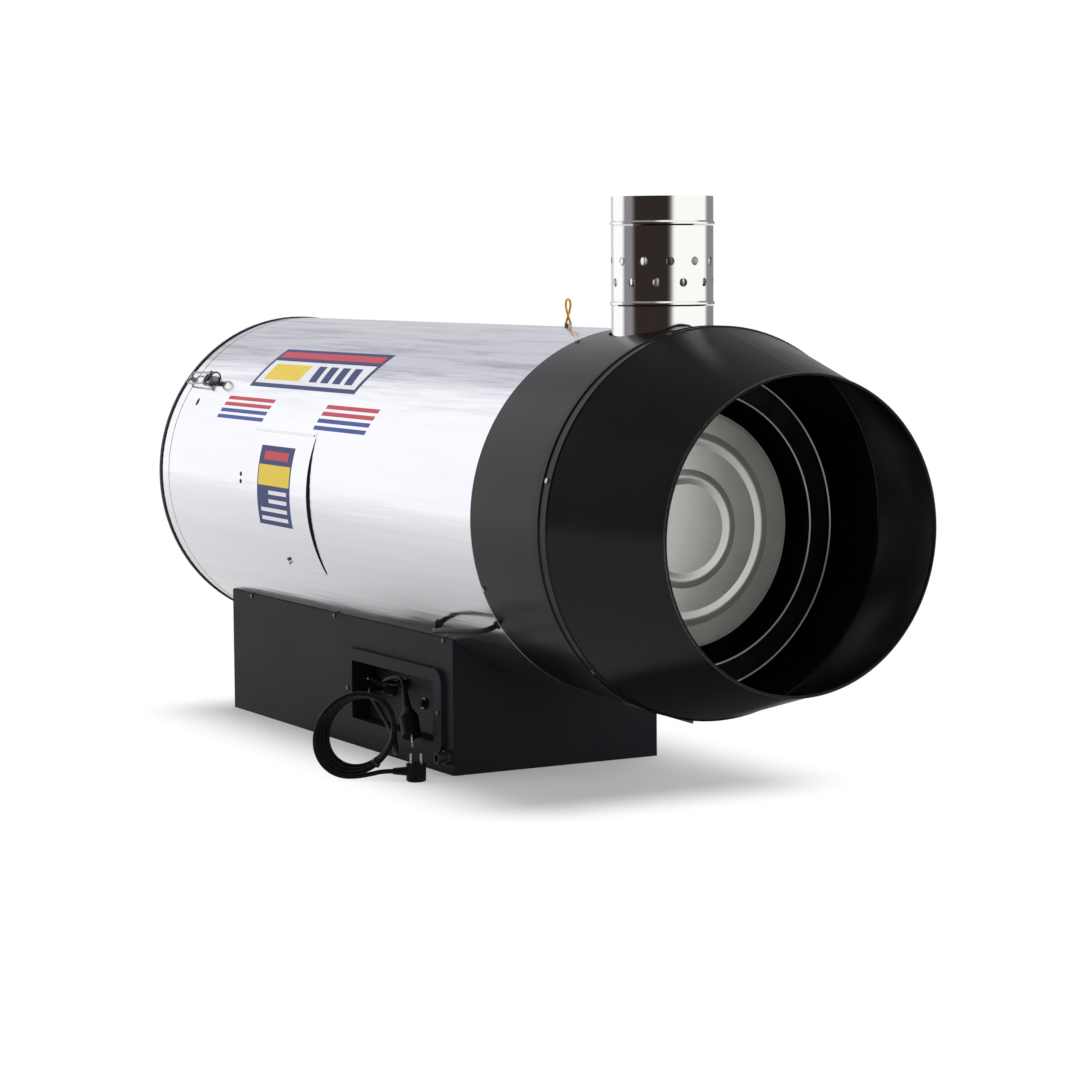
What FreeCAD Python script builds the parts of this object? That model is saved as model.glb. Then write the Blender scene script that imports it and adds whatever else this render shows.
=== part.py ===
import FreeCAD, Part
import os
from math import acos, ceil, cos, degrees, pi, radians, sin, sqrt, tan

# Flued gas-fired warm air heater: a rolled drum on a base box. Millimetres, +Z up.
# Warm air leaves towards -Y and the controls face -X. The origin is on the floor, in the middle.

# Sheet and fits
sheet = 1.5                # drum and base box
plate = 2.0                # chamber, exchanger and brackets
seat_gap = 0.2             # between faces that seat on each other
running_gap = 0.05         # radial, round pins and shafts that turn
hole_gap = 0.4             # radial, round pipes and screws in loose holes

# Drum lengths, from the outlet lip at the front to the edge trim at the rear
casing_radius = 331.0
cone_length = 292.0
ring_length = 255.0
casing_length = 1391.0     # bright part, from the ring's edge to the rear cover
cover_length = 48.0
ring_overlap = 40.0        # casing that reaches into the ring
ring_flare = 5.0          # growth of the ring's radius towards the cone
ring_shoulder = 22.0       # parallel front end of the ring
ring_spigot = 14.0         # ring under the cone's collar
collar_length = 25.0
joint_bead_step = 1.8      # each third of the bead in front of the collar
joint_bead_height = 2.4
opening_radius = 268.0
lip_bead = 3.0

# Base box
base_width = 444.0
base_height = 256.0
base_length = 1022.0
base_setback = 285.0       # behind the ring's rear edge
rail_thickness = 4.0
rail_height = 19.0
rail_drop = 1.0            # under the casing
side_screw_front = 37.0
side_screw_rear = 101.0
side_screw_drop = 5.5
screw_head = 4.5
screw_head_height = 2.2
screw_shank = 2.2

# Rear cover and guard
cover_spigot = 26.0
trim_depth = 9.0
trim_thickness = 2.0
guard_wire = 2.0
guard_setback = 20.0
guard_rings = 7
guard_hub = 45.0
guard_spokes = 6

# Flue
flue_radius = 90.0
flue_sheet = 1.0
flue_edge = 12.0           # from the ring's rear edge to the pipe's wall
flue_height = 230.1        # above the ring's crest
flue_sink = 40.0
flue_cut_gap = 5.0
stub_overlap = 58.0
stub_stop = 4.0
bead_drops = (47.0, 187.0)
bead_height = 2.4
bead_width = 9.0
hole_drops = (113.0, 150.0)
hole_turns = (22.5, 7.5)
hole_count = 12
hole_radius = 7.5

# Combustion chamber and heat exchanger
chamber_drop = 16.0        # chamber axis under the casing axis
outer_air_gap = 41.5
flue_way = 43.0
inner_air_gap = 33.0
chamber_setback = 81.0    # behind the cone joint
chamber_length = 790.0
exchanger_lead = 102.0     # in front of the flue's axis
exchanger_length = 710.0
exchanger_recess = 6.0
hem_width = 4.0
hem_height = 2.5
ridge_insets = (52.0, 120.0)
ridge_width = 26.0
ridge_slope = 8.0
ridge_height = 9.0
disc_flange = 15.0
duct_radius = 50.0
duct_lap = 6.0
duct_setback = 70.0
support_width = 30.0
support_length = 20.0
support_inset = 70.0
support_angles = (-55.0, -125.0, 40.0, 140.0)
spacer_angles = (-40.0, -140.0, 30.0, 150.0)

# Burner and gas line
burner_radius = 60.0
burner_length = 90.0
burner_flange = 100.0
burner_flange_thickness = 4.0
head_radius = 55.0
head_length = 120.0
head_rim = 72.0
nozzle_radius = 14.0
nozzle_length = 60.0
boss_radius = 14.0
boss_length = 12.0
electrode_radius = 5.0
electrode_circle = 84.0
electrode_angles = (60.0, 120.0)
electrode_length = 130.0
electrode_tip = 1.5
electrode_tip_length = 30.0
gas_pipe_radius = 9.0
gas_pipe_bore = 7.5
gas_pipe_offset = 55.0     # behind the burner flange
gas_hole_radius = 20.0
valve_size = (90.0, 80.0, 66.0)
solenoid_radius = 16.0
solenoid_height = 40.0
inlet_height = 34.0
inlet_thread = 10.5
inlet_thread_length = 16.0
inlet_hex = 25.0
inlet_hex_length = 12.0
inlet_body = 12.0
inlet_body_length = 24.0
feed_run = 76.0
controller_size = (100.0, 130.0, 80.0)
controller_offset = (70.0, 560.0)

# Fan and motor
fan_setback = 145.0        # in front of the rear seam
fan_tip_gap = 6.0
shroud_margin = 38.0
shroud_depth = 50.0
hub_radius = 55.0
hub_length = 70.0
blade_count = 5
blade_chord = 130.0
blade_thickness = 3.0
blade_pitch = 28.0
shaft_radius = 9.0
motor_radius = 62.0
motor_length = 160.0
motor_gap = 12.0           # between motor and hub
motor_bearing = 60.0
bracket_band = 8.0
bracket_width = 30.0
bracket_arm = 8.0
bracket_angles = (90.0, 210.0, 330.0)

# Access door in the drum's side; angles turn from -X towards +Z
door_setback = 681.0
door_length = 290.0
door_top_angle = 20.5
door_bottom_angle = -28.0
door_gap = 1.0
door_front_gap = 8.0
hinge_barrel = 2.5
hinge_pin = 1.25
hinge_leaf_arc = 4.0
hinge_segments = 5
hinge_gap = 0.4
hinge_seat = 0.5           # under the casing
fastener_inset = 15.0      # from the door's lower edge
fastener_shift = 15.0      # behind the door's middle
fastener_head = 8.0
fastener_head_height = 5.0
fastener_shaft = 4.0
fastener_slot = 2.0
tongue_length = 26.0
tongue_width = 10.0
tongue_depth = 2.2
tongue_thickness = 2.0

# Draw latches on both sides of the rear seam
latch_angle = 37.5
latch_setback = 71.0       # pivot in front of the seam
latch_base = (34.0, 24.0, 2.0)
latch_ear_gap = 8.0        # half the room between the ears
latch_ear = 2.0
latch_ear_length = 14.0
latch_pivot_height = 9.0
latch_pin = 2.0
latch_barrel = 4.2
lever_length = 66.0
lever_width = 12.0
lever_thickness = 2.5
lever_ring = 10.5
lever_ring_wire = 1.8
hook_pin_offset = 14.0
hook_pin_rise = 3.0
hook_half_width = 14.5
hook_wire = 2.0
hook_eye = 4.0
hook_eye_half = 2.6
hook_end_height = 6.0
keeper_reach = 86.0        # behind the pivot
keeper_size = (6.0, 10.0, 9.0)
hook_slack = 1.2           # between the keeper and the bail

# Small openings in the casing
test_hole_radius = 3.5
test_hole_setback = 1006.0
test_hole_angles = (4.2, 1.6)
slit_setback = 75.0
slit_angle = 29.7
slit_size = (14.0, 7.0)

# Control panel on the -X side
bezel_offset = 32.0        # behind the base box's front
bezel_height = 33.0
bezel_size = (416.0, 163.0)
bezel_corner = 28.0
bezel_proud = 9.0
window_margin = (32.0, 24.0)
window_corner = 5.0
pocket_low = 36.0          # depth of the sloped plate at the window's sill
pocket_high = 60.0         # and at its top
pocket_tail = 8.0
bezel_screw_inset = 13.0
toggle_spot = (159.0, 12.0)
toggle_bush = 7.0
toggle_bush_length = 9.0
toggle_nut = 10.5
toggle_nut_length = 3.0
toggle_ball = 4.0
toggle_pin = 1.2
toggle_stem = 2.2
toggle_knob = 2.75
toggle_stem_length = 20.0
toggle_tilt = 12.0
reset_spot = (-49.0, -5.0)
reset_collar = 11.5
reset_button_radius = 7.5
reset_collar_length = 4.0
reset_proud = 9.0
reset_depth = 8.0
mains_gland_spot = (86.0, 4.0)
lead_gland_spot = (39.0, 22.0)
gland_nut = 11.0
gland_nut_length = 6.0
gland_length = 24.0

# Cords; the coil stands on the floor in front of the panel
cord_radius = 4.5
lead_radius = 3.5
cord_run = 16.0            # straight run out of a gland or into the coil
lead_way = ((5.5, 79.0, 93.0), (15.0, 65.5, 89.0), (19.0, 44.0, 79.0), (20.0, 7.0, 59.0),
            (23.0, -30.0, 39.0), (30.0, -67.0, 22.0), (41.0, -101.0, 10.0), (56.0, -131.0, 4.0),
            (70.0, -155.0, 5.0), (81.0, -175.0, 13.5))
short_way = ((-2.0, 32.0, 113.5), (5.0, 19.0, 117.0), (7.5, -2.0, 123.0), (7.0, -29.0, 129.5))
coil_foot = (171.0, -169.0)
coil_run = 26.0
tail_run = 20.0
coil_facing = -29.15       # turn of the coil's sideways direction about +Z
coil_inner = (21.0, 89.0, 60.5, 65.0)
coil_outer = (9.5, 85.5, 75.0, 79.0)
coil_shear = 0.14
coil_start = 10.0
coil_end = 1360.0
coil_depth = (-20.0, 18.0)
coil_knot_step = 45.0
coil_clear = 0.5           # over the floor
tie_station = 1030.0
tie_width = 5.0
tie_thickness = 1.2
plug_radius = 18.5
plug_body = 40.0
plug_taper = 20.0
plug_boot = 37.0
plug_boot_radius = 8.0
plug_pin_radius = 2.4
plug_pin_length = 19.0
plug_pin_spacing = 19.0
floor_plug_height = 33.0
floor_plug_boot = 24.0
floor_plug_seat = 19.0     # height of the cord in the floor plug
floor_plug_depth = 26.0
floor_plug_side = 124.0
hung_plug_top = (7.5, -72.0, 109.6)
hung_plug_way = (-0.13, -0.55, -0.825)
hung_run = 26.0

# Sensor conduit, hanging loop and rail under the ring
conduit_radius = 5.0
conduit_turns = (-40.0, -40.0, -38.5, -36.5, -35.2, -34.5, -34.2, -34.2)
conduit_stations = (277.0, 272.0, 246.0, 190.0, 120.0, 50.0, 16.0, 10.0)
conduit_lifts = (2.0, 16.0, 27.0, 29.0, 29.0, 25.0, 15.0, 2.6)
loop_setback = 233.0
loop_wire = 1.4
loop_radius = 9.0
loop_rise = 40.0
loop_foot = 1.9
loop_turn = 90.0
loop_nut = 7.0
loop_nut_height = 6.0
rail_front = 217.0         # in front of the ring's rear edge
rail_back = 20.0           # behind it
rail_web = 17.0
rail_flange = 24.0
rail_sheet = 3.0
rail_hole = 4.0
rail_hole_setback = 157.0
collar_screw_count = 6
collar_screw_turn = 15.0
ring_screw_count = 4
ring_screw_turn = -21.0
ring_screw_inset = 8.0

# Stations and radii that follow
total_length = cone_length + ring_length + casing_length + cover_length
lip_y = -total_length / 2
joint_y = lip_y + cone_length
ring_rear_y = joint_y + ring_length
seam_y = ring_rear_y + casing_length
rear_y = seam_y + cover_length
casing_front_y = ring_rear_y - ring_overlap
casing_inner = casing_radius - sheet
base_half = base_width / 2
base_inner = base_half - sheet
axis_z = base_height + seat_gap + sqrt(casing_radius ** 2 - base_inner ** 2)
chamber_z = axis_z - chamber_drop
base_front_y = ring_rear_y + base_setback
base_rear_y = base_front_y + base_length
ring_rear_radius = casing_radius + seat_gap + sheet
ring_front_radius = ring_rear_radius + ring_flare
collar_radius = ring_front_radius + seat_gap + sheet
shoulder_y = joint_y + ring_shoulder
flue_y = ring_rear_y - flue_edge - flue_radius
exchanger_outer = casing_inner - outer_air_gap
exchanger_inner = exchanger_outer - flue_way
chamber_radius = exchanger_inner - inner_air_gap
chamber_front_y = joint_y + chamber_setback
chamber_rear_y = chamber_front_y + chamber_length
exchanger_front_y = flue_y - exchanger_lead
exchanger_rear_y = exchanger_front_y + exchanger_length
flange_y = chamber_rear_y + seat_gap
head_y = flange_y + burner_flange_thickness
gas_y = head_y + gas_pipe_offset
fan_y = seam_y - fan_setback
fan_radius = casing_inner - shroud_margin - fan_tip_gap

X = FreeCAD.Vector(1, 0, 0)
Y = FreeCAD.Vector(0, 1, 0)
Z = FreeCAD.Vector(0, 0, 1)
nodes = {}


def vec(x, y, z):
    return FreeCAD.Vector(x, y, z)


def block(x0, x1, y0, y1, z0, z1):
    return Part.makeBox(x1 - x0, y1 - y0, z1 - z0, vec(x0, y0, z0))


def rod(radius, start, end):
    return Part.makeCylinder(radius, start.distanceToPoint(end), start, end - start)


def turned(profile, height):
    """Solid of revolution about the lengthwise axis at a height; corners are (station, radius)."""
    corners = [vec(0, y, height + r) for y, r in profile]
    face = Part.Face(Part.makePolygon(corners + corners[:1]))
    return face.revolve(vec(0, 0, height), Y, 360)


def turned_up(profile, foot):
    """Solid of revolution about a vertical axis; corners are (radius, height)."""
    corners = [foot + vec(r, 0, z) for r, z in profile]
    face = Part.Face(Part.makePolygon(corners + corners[:1]))
    return face.revolve(foot, Z, 360)


def sector(inner, outer, y0, y1, start, end, height):
    """Piece of a tube round the lengthwise axis between two angles."""
    corners = [vec(-r, y, height) for r, y in ((inner, y0), (outer, y0), (outer, y1), (inner, y1))]
    face = Part.Face(Part.makePolygon(corners + corners[:1]))
    solid = face.revolve(vec(0, 0, height), Y, end - start)
    solid.rotate(vec(0, 0, height), Y, start)
    return solid


def round_axis(angle):
    """Outward direction at an angle that turns from -X towards +Z."""
    return vec(-cos(radians(angle)), 0, sin(radians(angle)))


def drum_point(radius, angle, y):
    return vec(0, y, axis_z) + round_axis(angle) * radius


def drum_frame(radius, angle, y):
    """Placement on the drum: x rearwards, z outwards, y round the drum."""
    out = round_axis(angle)
    turn = FreeCAD.Rotation(Y, out.cross(Y), out, "ZXY")
    return FreeCAD.Placement(drum_point(radius, angle, y), turn)


def placed(shape, placement):
    shape = shape.copy()
    shape.Placement = placement.multiply(shape.Placement)
    return shape


def fused(first, others):
    return first.fuse(others).removeSplitter()


def rounded_plate(width, height, corner, depth):
    """Upright plate with rounded corners, its middle at the origin, thickness along +Z."""
    box = Part.makeBox(width, height, depth, vec(-width / 2, -height / 2, 0))
    uprights = [e for e in box.Edges if abs(e.tangentAt(e.FirstParameter).z) > 1 - 1e-6]
    return box.makeFillet(corner, uprights)


def hexagon(across, length):
    corners = [vec(cos(k * pi / 3), sin(k * pi / 3), 0) * (across / sqrt(3)) for k in range(7)]
    return Part.Face(Part.makePolygon(corners)).extrude(Z * length)


def swept(wire, radius):
    """Round tube along a wire that starts with a straight run."""
    first = wire.OrderedEdges[0]
    start = wire.OrderedVertexes[0].Point
    ring = Part.Circle(start, first.tangentAt(first.FirstParameter), radius).toShape()
    return wire.makePipeShell([Part.Wire(ring)], True, False)


def route(points):
    """Straight runs joined by tangent arcs through the corners; also the smallest arc radius."""
    edges = []
    here = points[0]
    tightest = None
    for before, corner, after in zip(points, points[1:], points[2:]):
        back = (before - corner).normalize()
        onward = (after - corner).normalize()
        half = (pi - acos(max(-1.0, min(1.0, back.dot(onward))))) / 2
        trim = 0.45 * min(corner.distanceToPoint(before), corner.distanceToPoint(after))
        bend = trim / tan(half)
        tightest = bend if tightest is None else min(tightest, bend)
        middle = corner + (back + onward).normalize() * (bend / cos(half) - bend)
        edges.append(Part.LineSegment(here, corner + back * trim).toShape())
        edges.append(Part.Arc(corner + back * trim, middle, corner + onward * trim).toShape())
        here = corner + onward * trim
    edges.append(Part.LineSegment(here, points[-1]).toShape())
    return Part.Wire(edges), tightest


def cord_solid(name, points, radius):
    wire, tightest = route(points)
    solid = swept(wire, radius)
    share = solid.Volume / (pi * radius ** 2 * wire.Length)
    print(name, "length", round(wire.Length, 1), "bend radius", round(tightest, 1), "volume", round(share, 4))
    return solid


def screw(frame):
    """Pan head on a surface with a short shank through the outer sheet."""
    head = Part.makeCylinder(screw_head, screw_head_height)
    shank = Part.makeCylinder(screw_shank, sheet, vec(0, 0, -sheet))
    return placed(fused(head, [shank]), frame)


def screw_hole(frame):
    depth = sheet + seat_gap
    return placed(Part.makeCylinder(screw_shank + hole_gap, 2 * depth, vec(0, 0, -depth)), frame)


# Drum: casing, outlet ring, outlet cone, rear cover
def ring_radius_at(y):
    return ring_rear_radius + ring_flare * (ring_rear_y - y) / (ring_rear_y - shoulder_y)


ring_outer_line = [(ring_rear_y, ring_rear_radius), (shoulder_y, ring_front_radius),
                   (joint_y - ring_spigot, ring_front_radius)]
ring_inner_line = [(y, r - sheet) for y, r in ring_outer_line]
outlet_ring = turned(ring_outer_line + ring_inner_line[::-1], axis_z)
flue_cut = Part.makeCylinder(flue_radius + flue_cut_gap, 2 * casing_radius, vec(0, flue_y, axis_z))
outlet_ring = outlet_ring.cut(flue_cut)

joint_bead_y = joint_y - collar_length
joint_bead_radius = collar_radius + joint_bead_height
lip_center_y = lip_y + lip_bead
cone_outer_line = [(joint_y, joint_bead_radius), (joint_y - joint_bead_step, joint_bead_radius),
                   (joint_y - 2 * joint_bead_step, collar_radius), (joint_bead_y, collar_radius),
                   (joint_bead_y - joint_bead_step, joint_bead_radius),
                   (joint_bead_y - 2 * joint_bead_step, joint_bead_radius),
                   (joint_bead_y - 3 * joint_bead_step, collar_radius), (lip_center_y, opening_radius)]
cone_inner_line = [(y, r - sheet) for y, r in cone_outer_line]
outlet_cone = turned(cone_outer_line + cone_inner_line[::-1], axis_z)
lip = Part.makeTorus(opening_radius - sheet / 2, lip_bead, vec(0, lip_center_y, axis_z), Y)
outlet_cone = fused(outlet_cone, [lip])

ring_screw_y = ring_rear_y - ring_screw_inset
collar_screw_y = joint_y - collar_length / 2
ring_seat = ring_radius_at(ring_screw_y - screw_head) + seat_gap
ring_frames = [drum_frame(ring_seat, ring_screw_turn + k * 360 / ring_screw_count, ring_screw_y)
               for k in range(ring_screw_count)]
collar_frames = [drum_frame(collar_radius + seat_gap, collar_screw_turn + k * 360 / collar_screw_count,
                            collar_screw_y) for k in range(collar_screw_count)]
outlet_ring = outlet_ring.cut([screw_hole(f) for f in ring_frames])
outlet_cone = outlet_cone.cut([screw_hole(f) for f in collar_frames])
nodes["outlet_ring"] = outlet_ring
nodes["outlet_cone"] = outlet_cone

spigot_radius = casing_inner - seat_gap
cover_inner = spigot_radius - sheet
cover_rear_y = rear_y - trim_thickness - seat_gap
cover_front_y = seam_y + seat_gap
nodes["rear_cover_band"] = turned(
    [(seam_y - cover_spigot, cover_inner), (seam_y - cover_spigot, spigot_radius),
     (cover_front_y, spigot_radius), (cover_front_y, casing_radius),
     (cover_rear_y, casing_radius), (cover_rear_y, cover_inner)], axis_z)
trim_outside = casing_radius + seat_gap
trim_inside = cover_inner - seat_gap
nodes["rear_edge_trim"] = turned(
    [(rear_y - trim_depth, trim_outside), (rear_y - trim_depth, trim_outside + trim_thickness),
     (rear_y, trim_outside + trim_thickness), (rear_y, trim_inside - trim_thickness),
     (rear_y - trim_depth, trim_inside - trim_thickness), (rear_y - trim_depth, trim_inside),
     (rear_y - trim_thickness, trim_inside), (rear_y - trim_thickness, trim_outside)], axis_z)

guard_y = rear_y - guard_setback
guard_outer = cover_inner - guard_wire - seat_gap
guard_pitch = (guard_outer - guard_hub) / (guard_rings - 1)
guard_center = vec(0, guard_y, axis_z)
guard_hoops = [Part.makeTorus(guard_hub + k * guard_pitch, guard_wire, guard_center, Y)
               for k in range(guard_rings)]
spoke_center = guard_center - Y * (2 * guard_wire + seat_gap)
guard_wires = [rod(guard_wire, spoke_center + round_axis(k * 360 / guard_spokes) * (guard_hub - guard_wire),
                   spoke_center + round_axis(k * 360 / guard_spokes) * guard_outer)
               for k in range(guard_spokes)]
nodes["guard_grille"] = Part.makeCompound(guard_hoops + guard_wires)

# Combustion chamber and annular heat exchanger
tube_hole = burner_radius + hole_gap
chamber_shell = turned(
    [(chamber_front_y, chamber_radius - plate), (chamber_front_y, chamber_radius),
     (chamber_rear_y, chamber_radius), (chamber_rear_y, tube_hole),
     (chamber_rear_y - plate, tube_hole), (chamber_rear_y - plate, chamber_radius - plate)], chamber_z)
disc_radius = chamber_radius - plate - seat_gap
disc_line = [(chamber_front_y, 0.0)]
for inset in sorted(ridge_insets, reverse=True):
    middle = chamber_radius - inset
    low = middle - ridge_width / 2
    high = middle + ridge_width / 2
    disc_line += [(chamber_front_y, low), (chamber_front_y - ridge_height, low + ridge_slope),
                  (chamber_front_y - ridge_height, high - ridge_slope), (chamber_front_y, high)]
disc_back = [(y + plate, r) for y, r in disc_line]
disc_edge = [(chamber_front_y, disc_radius), (chamber_front_y + disc_flange, disc_radius),
             (chamber_front_y + disc_flange, disc_radius - plate),
             (chamber_front_y + plate, disc_radius - plate)]
nodes["chamber_end_disc"] = turned(disc_line + disc_edge + disc_back[::-1], chamber_z)

ring_plate_radius = exchanger_outer - plate - seat_gap
recess_y = exchanger_front_y + exchanger_recess
inner_wall = exchanger_inner + plate
exchanger_inner_shell = turned(
    [(exchanger_front_y, exchanger_inner), (exchanger_rear_y, exchanger_inner),
     (exchanger_rear_y, ring_plate_radius), (exchanger_rear_y - plate, ring_plate_radius),
     (exchanger_rear_y - plate, inner_wall), (recess_y + plate, inner_wall),
     (recess_y + plate, ring_plate_radius), (recess_y, ring_plate_radius),
     (recess_y, inner_wall), (exchanger_front_y, inner_wall)], chamber_z)
hem_line = [(exchanger_front_y, exchanger_outer - plate)]
for k in range(2):
    hem_y = exchanger_front_y + 2 * k * hem_width
    hem_line += [(hem_y, exchanger_outer + hem_height), (hem_y + hem_width, exchanger_outer + hem_height),
                 (hem_y + hem_width, exchanger_outer)]
    if k == 0:
        hem_line += [(hem_y + 2 * hem_width, exchanger_outer)]
exchanger_outer_shell = turned(hem_line + [(exchanger_rear_y, exchanger_outer),
                                           (exchanger_rear_y, exchanger_outer - plate)], chamber_z)

duct_y = exchanger_rear_y - duct_setback
duct_top = chamber_z - sqrt((chamber_radius - plate) ** 2 - duct_radius ** 2) + duct_lap
duct_bottom = chamber_z - inner_wall - duct_lap
duct_foot = vec(0, duct_y, duct_bottom)
duct_way = Part.makeCylinder(duct_radius + hole_gap, duct_top - duct_bottom, duct_foot)
nodes["crossover_duct"] = Part.makeCylinder(duct_radius, duct_top - duct_bottom, duct_foot).cut(
    Part.makeCylinder(duct_radius - plate, duct_top - duct_bottom, duct_foot))
exchanger_inner_shell = exchanger_inner_shell.cut(duct_way)
chamber_shell = chamber_shell.cut(duct_way)
nodes["exchanger_inner_shell"] = exchanger_inner_shell

supports = []
for support_y in (casing_front_y + support_inset, exchanger_rear_y - support_inset - 2 * duct_radius):
    room = Part.makeCylinder(casing_inner - seat_gap, support_length, vec(0, support_y, axis_z), Y).cut(
        Part.makeCylinder(exchanger_outer + seat_gap, support_length, vec(0, support_y, chamber_z), Y))
    for angle in support_angles:
        bar = Part.makeBox(support_length, support_width, 2 * outer_air_gap + 2 * chamber_drop,
                           vec(0, -support_width / 2, -outer_air_gap - 2 * chamber_drop))
        supports.append(room.common(placed(bar, drum_frame(casing_radius, angle, support_y))))
    for angle in spacer_angles:
        half_arc = degrees(support_width / 2 / exchanger_inner)
        supports.append(sector(chamber_radius + seat_gap, exchanger_inner - seat_gap, support_y,
                               support_y + support_length, angle - half_arc, angle + half_arc, chamber_z))
nodes["exchanger_supports"] = Part.makeCompound(supports)

# Flue stub on the exchanger and flue pipe over it
ring_crest_z = axis_z + ring_radius_at(flue_y)
flue_top_z = ring_crest_z + flue_height
flue_foot_z = ring_crest_z - flue_sink
stub_radius = flue_radius - flue_sheet - seat_gap
stub_foot_z = chamber_z + (exchanger_inner + exchanger_outer) / 2
stub_stop_z = flue_foot_z - seat_gap - stub_stop
flue_axis = vec(0, flue_y, 0)
nodes["flue_stub"] = turned_up(
    [(stub_radius - plate, stub_foot_z), (stub_radius, stub_foot_z), (stub_radius, stub_stop_z),
     (flue_radius, stub_stop_z), (flue_radius, stub_stop_z + stub_stop),
     (stub_radius, stub_stop_z + stub_stop),
     (stub_radius, flue_foot_z + stub_overlap), (stub_radius - plate, flue_foot_z + stub_overlap)], flue_axis)
stub_hole = Part.makeCylinder(stub_radius + hole_gap, exchanger_outer, vec(0, flue_y, chamber_z))
nodes["exchanger_outer_shell"] = exchanger_outer_shell.cut(stub_hole)

flue_line = [(flue_radius, flue_foot_z)]
for drop in sorted(bead_drops, reverse=True):
    bead_z = flue_top_z - drop
    flue_line += [(flue_radius, bead_z - bead_width / 2),
                  (flue_radius + bead_height, bead_z - bead_width / 6),
                  (flue_radius + bead_height, bead_z + bead_width / 6),
                  (flue_radius, bead_z + bead_width / 2)]
flue_line += [(flue_radius, flue_top_z)]
flue_pipe = turned_up(flue_line + [(r - flue_sheet, z) for r, z in flue_line[::-1]], flue_axis)
drills = []
for drop, first in zip(hole_drops, hole_turns):
    for k in range(hole_count // 2):
        angle = radians(first + k * 360 / hole_count)
        reach = vec(-sin(angle), -cos(angle), 0) * (flue_radius + bead_height)
        middle = flue_axis + Z * (flue_top_z - drop)
        drills.append(rod(hole_radius, middle - reach, middle + reach))
nodes["flue_pipe"] = flue_pipe.cut(drills)

# Burner, electrodes, gas line
electrode_spots = [vec(0, 0, chamber_z) + round_axis(a) * electrode_circle for a in electrode_angles]
electrode_y = head_y + electrode_length / 2
electrodes = []
electrode_holes = []
for spot in electrode_spots:
    rear = spot + Y * electrode_y
    neck = rear - Y * electrode_length
    electrodes.append(fused(rod(electrode_radius, rear, neck),
                            [rod(electrode_tip, neck, neck - Y * electrode_tip_length)]))
    electrode_holes.append(rod(electrode_radius + hole_gap, rear, neck))
nodes["electrode_pair"] = Part.makeCompound(electrodes)
nodes["chamber_shell"] = chamber_shell.cut(electrode_holes)
nodes["burner_tube"] = turned(
    [(chamber_rear_y - burner_length, burner_radius - plate), (chamber_rear_y - burner_length, burner_radius),
     (flange_y, burner_radius), (flange_y, burner_flange), (head_y, burner_flange),
     (head_y, burner_radius - plate)], chamber_z).cut(electrode_holes)
head = turned(
    [(head_y - nozzle_length, 0.0), (head_y - nozzle_length, nozzle_radius), (head_y, 2 * nozzle_radius),
     (head_y, head_rim), (head_y + burner_flange_thickness, head_rim),
     (head_y + burner_flange_thickness, head_radius), (head_y + head_length, head_radius),
     (head_y + head_length, 0.0)], chamber_z)
boss_z = chamber_z - head_radius - boss_length
boss = Part.makeCylinder(boss_radius, 2 * boss_length, vec(0, gas_y, boss_z))
nodes["burner_head"] = fused(head, [boss])

valve_x, valve_y, valve_z = valve_size
valve_top = sheet + valve_z
valve = block(-valve_x / 2, valve_x / 2, gas_y - valve_y / 2, gas_y + valve_y / 2, sheet, valve_top)
valve_outlet = Part.makeCylinder(boss_radius, boss_length, vec(0, gas_y, valve_top))
valve_inlet = Part.makeCylinder(boss_radius, boss_length, vec(-valve_x / 2, gas_y, inlet_height), -X)
solenoid_spot = vec(valve_x / 2 - solenoid_radius, gas_y + valve_y / 2 - solenoid_radius, valve_top)
solenoid = Part.makeCylinder(solenoid_radius, solenoid_height, solenoid_spot)
nodes["gas_valve"] = fused(valve, [valve_outlet, valve_inlet, solenoid])
pipe_foot = vec(0, gas_y, valve_top + boss_length)
pipe_rise = boss_z - pipe_foot.z
nodes["burner_gas_pipe"] = Part.makeCylinder(gas_pipe_radius, pipe_rise, pipe_foot).cut(
    Part.makeCylinder(gas_pipe_bore, pipe_rise, pipe_foot))

inlet_y = base_front_y + bezel_offset / 2
inlet_frame = FreeCAD.Placement(vec(-base_half - seat_gap, inlet_y, inlet_height), FreeCAD.Rotation(Z, -X))
inlet_thread_rod = Part.makeCylinder(inlet_thread, inlet_thread_length, vec(0, 0, inlet_hex_length))
inlet_neck = Part.makeCylinder(inlet_body, inlet_body_length, vec(0, 0, -inlet_body_length))
inlet_bore = Part.makeCylinder(gas_pipe_bore, inlet_thread_length + inlet_hex_length + inlet_body_length,
                               vec(0, 0, -inlet_body_length))
inlet = fused(hexagon(inlet_hex, inlet_hex_length), [inlet_thread_rod, inlet_neck]).cut(inlet_bore)
nodes["gas_inlet_union"] = placed(inlet, inlet_frame)
inlet_hole = placed(Part.makeCylinder(inlet_body + hole_gap, 4 * sheet, vec(0, 0, -3 * sheet)), inlet_frame)
feed_start = vec(-base_half - seat_gap + inlet_body_length, inlet_y, inlet_height)
feed_end = vec(-valve_x / 2 - boss_length, gas_y, inlet_height)
feed_turn_x = feed_end.x - feed_run / 2
feed_wire = route([feed_start, vec(feed_turn_x, inlet_y, inlet_height),
                   vec(feed_turn_x, gas_y, inlet_height), feed_end])[0]
nodes["gas_feed_pipe"] = swept(feed_wire, gas_pipe_radius).cut(swept(feed_wire, gas_pipe_bore))

controller_x, controller_y = controller_offset
controller_y += base_front_y
nodes["ignition_controller"] = block(controller_x, controller_x + controller_size[0], controller_y,
                                     controller_y + controller_size[1], sheet, sheet + controller_size[2])

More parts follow.
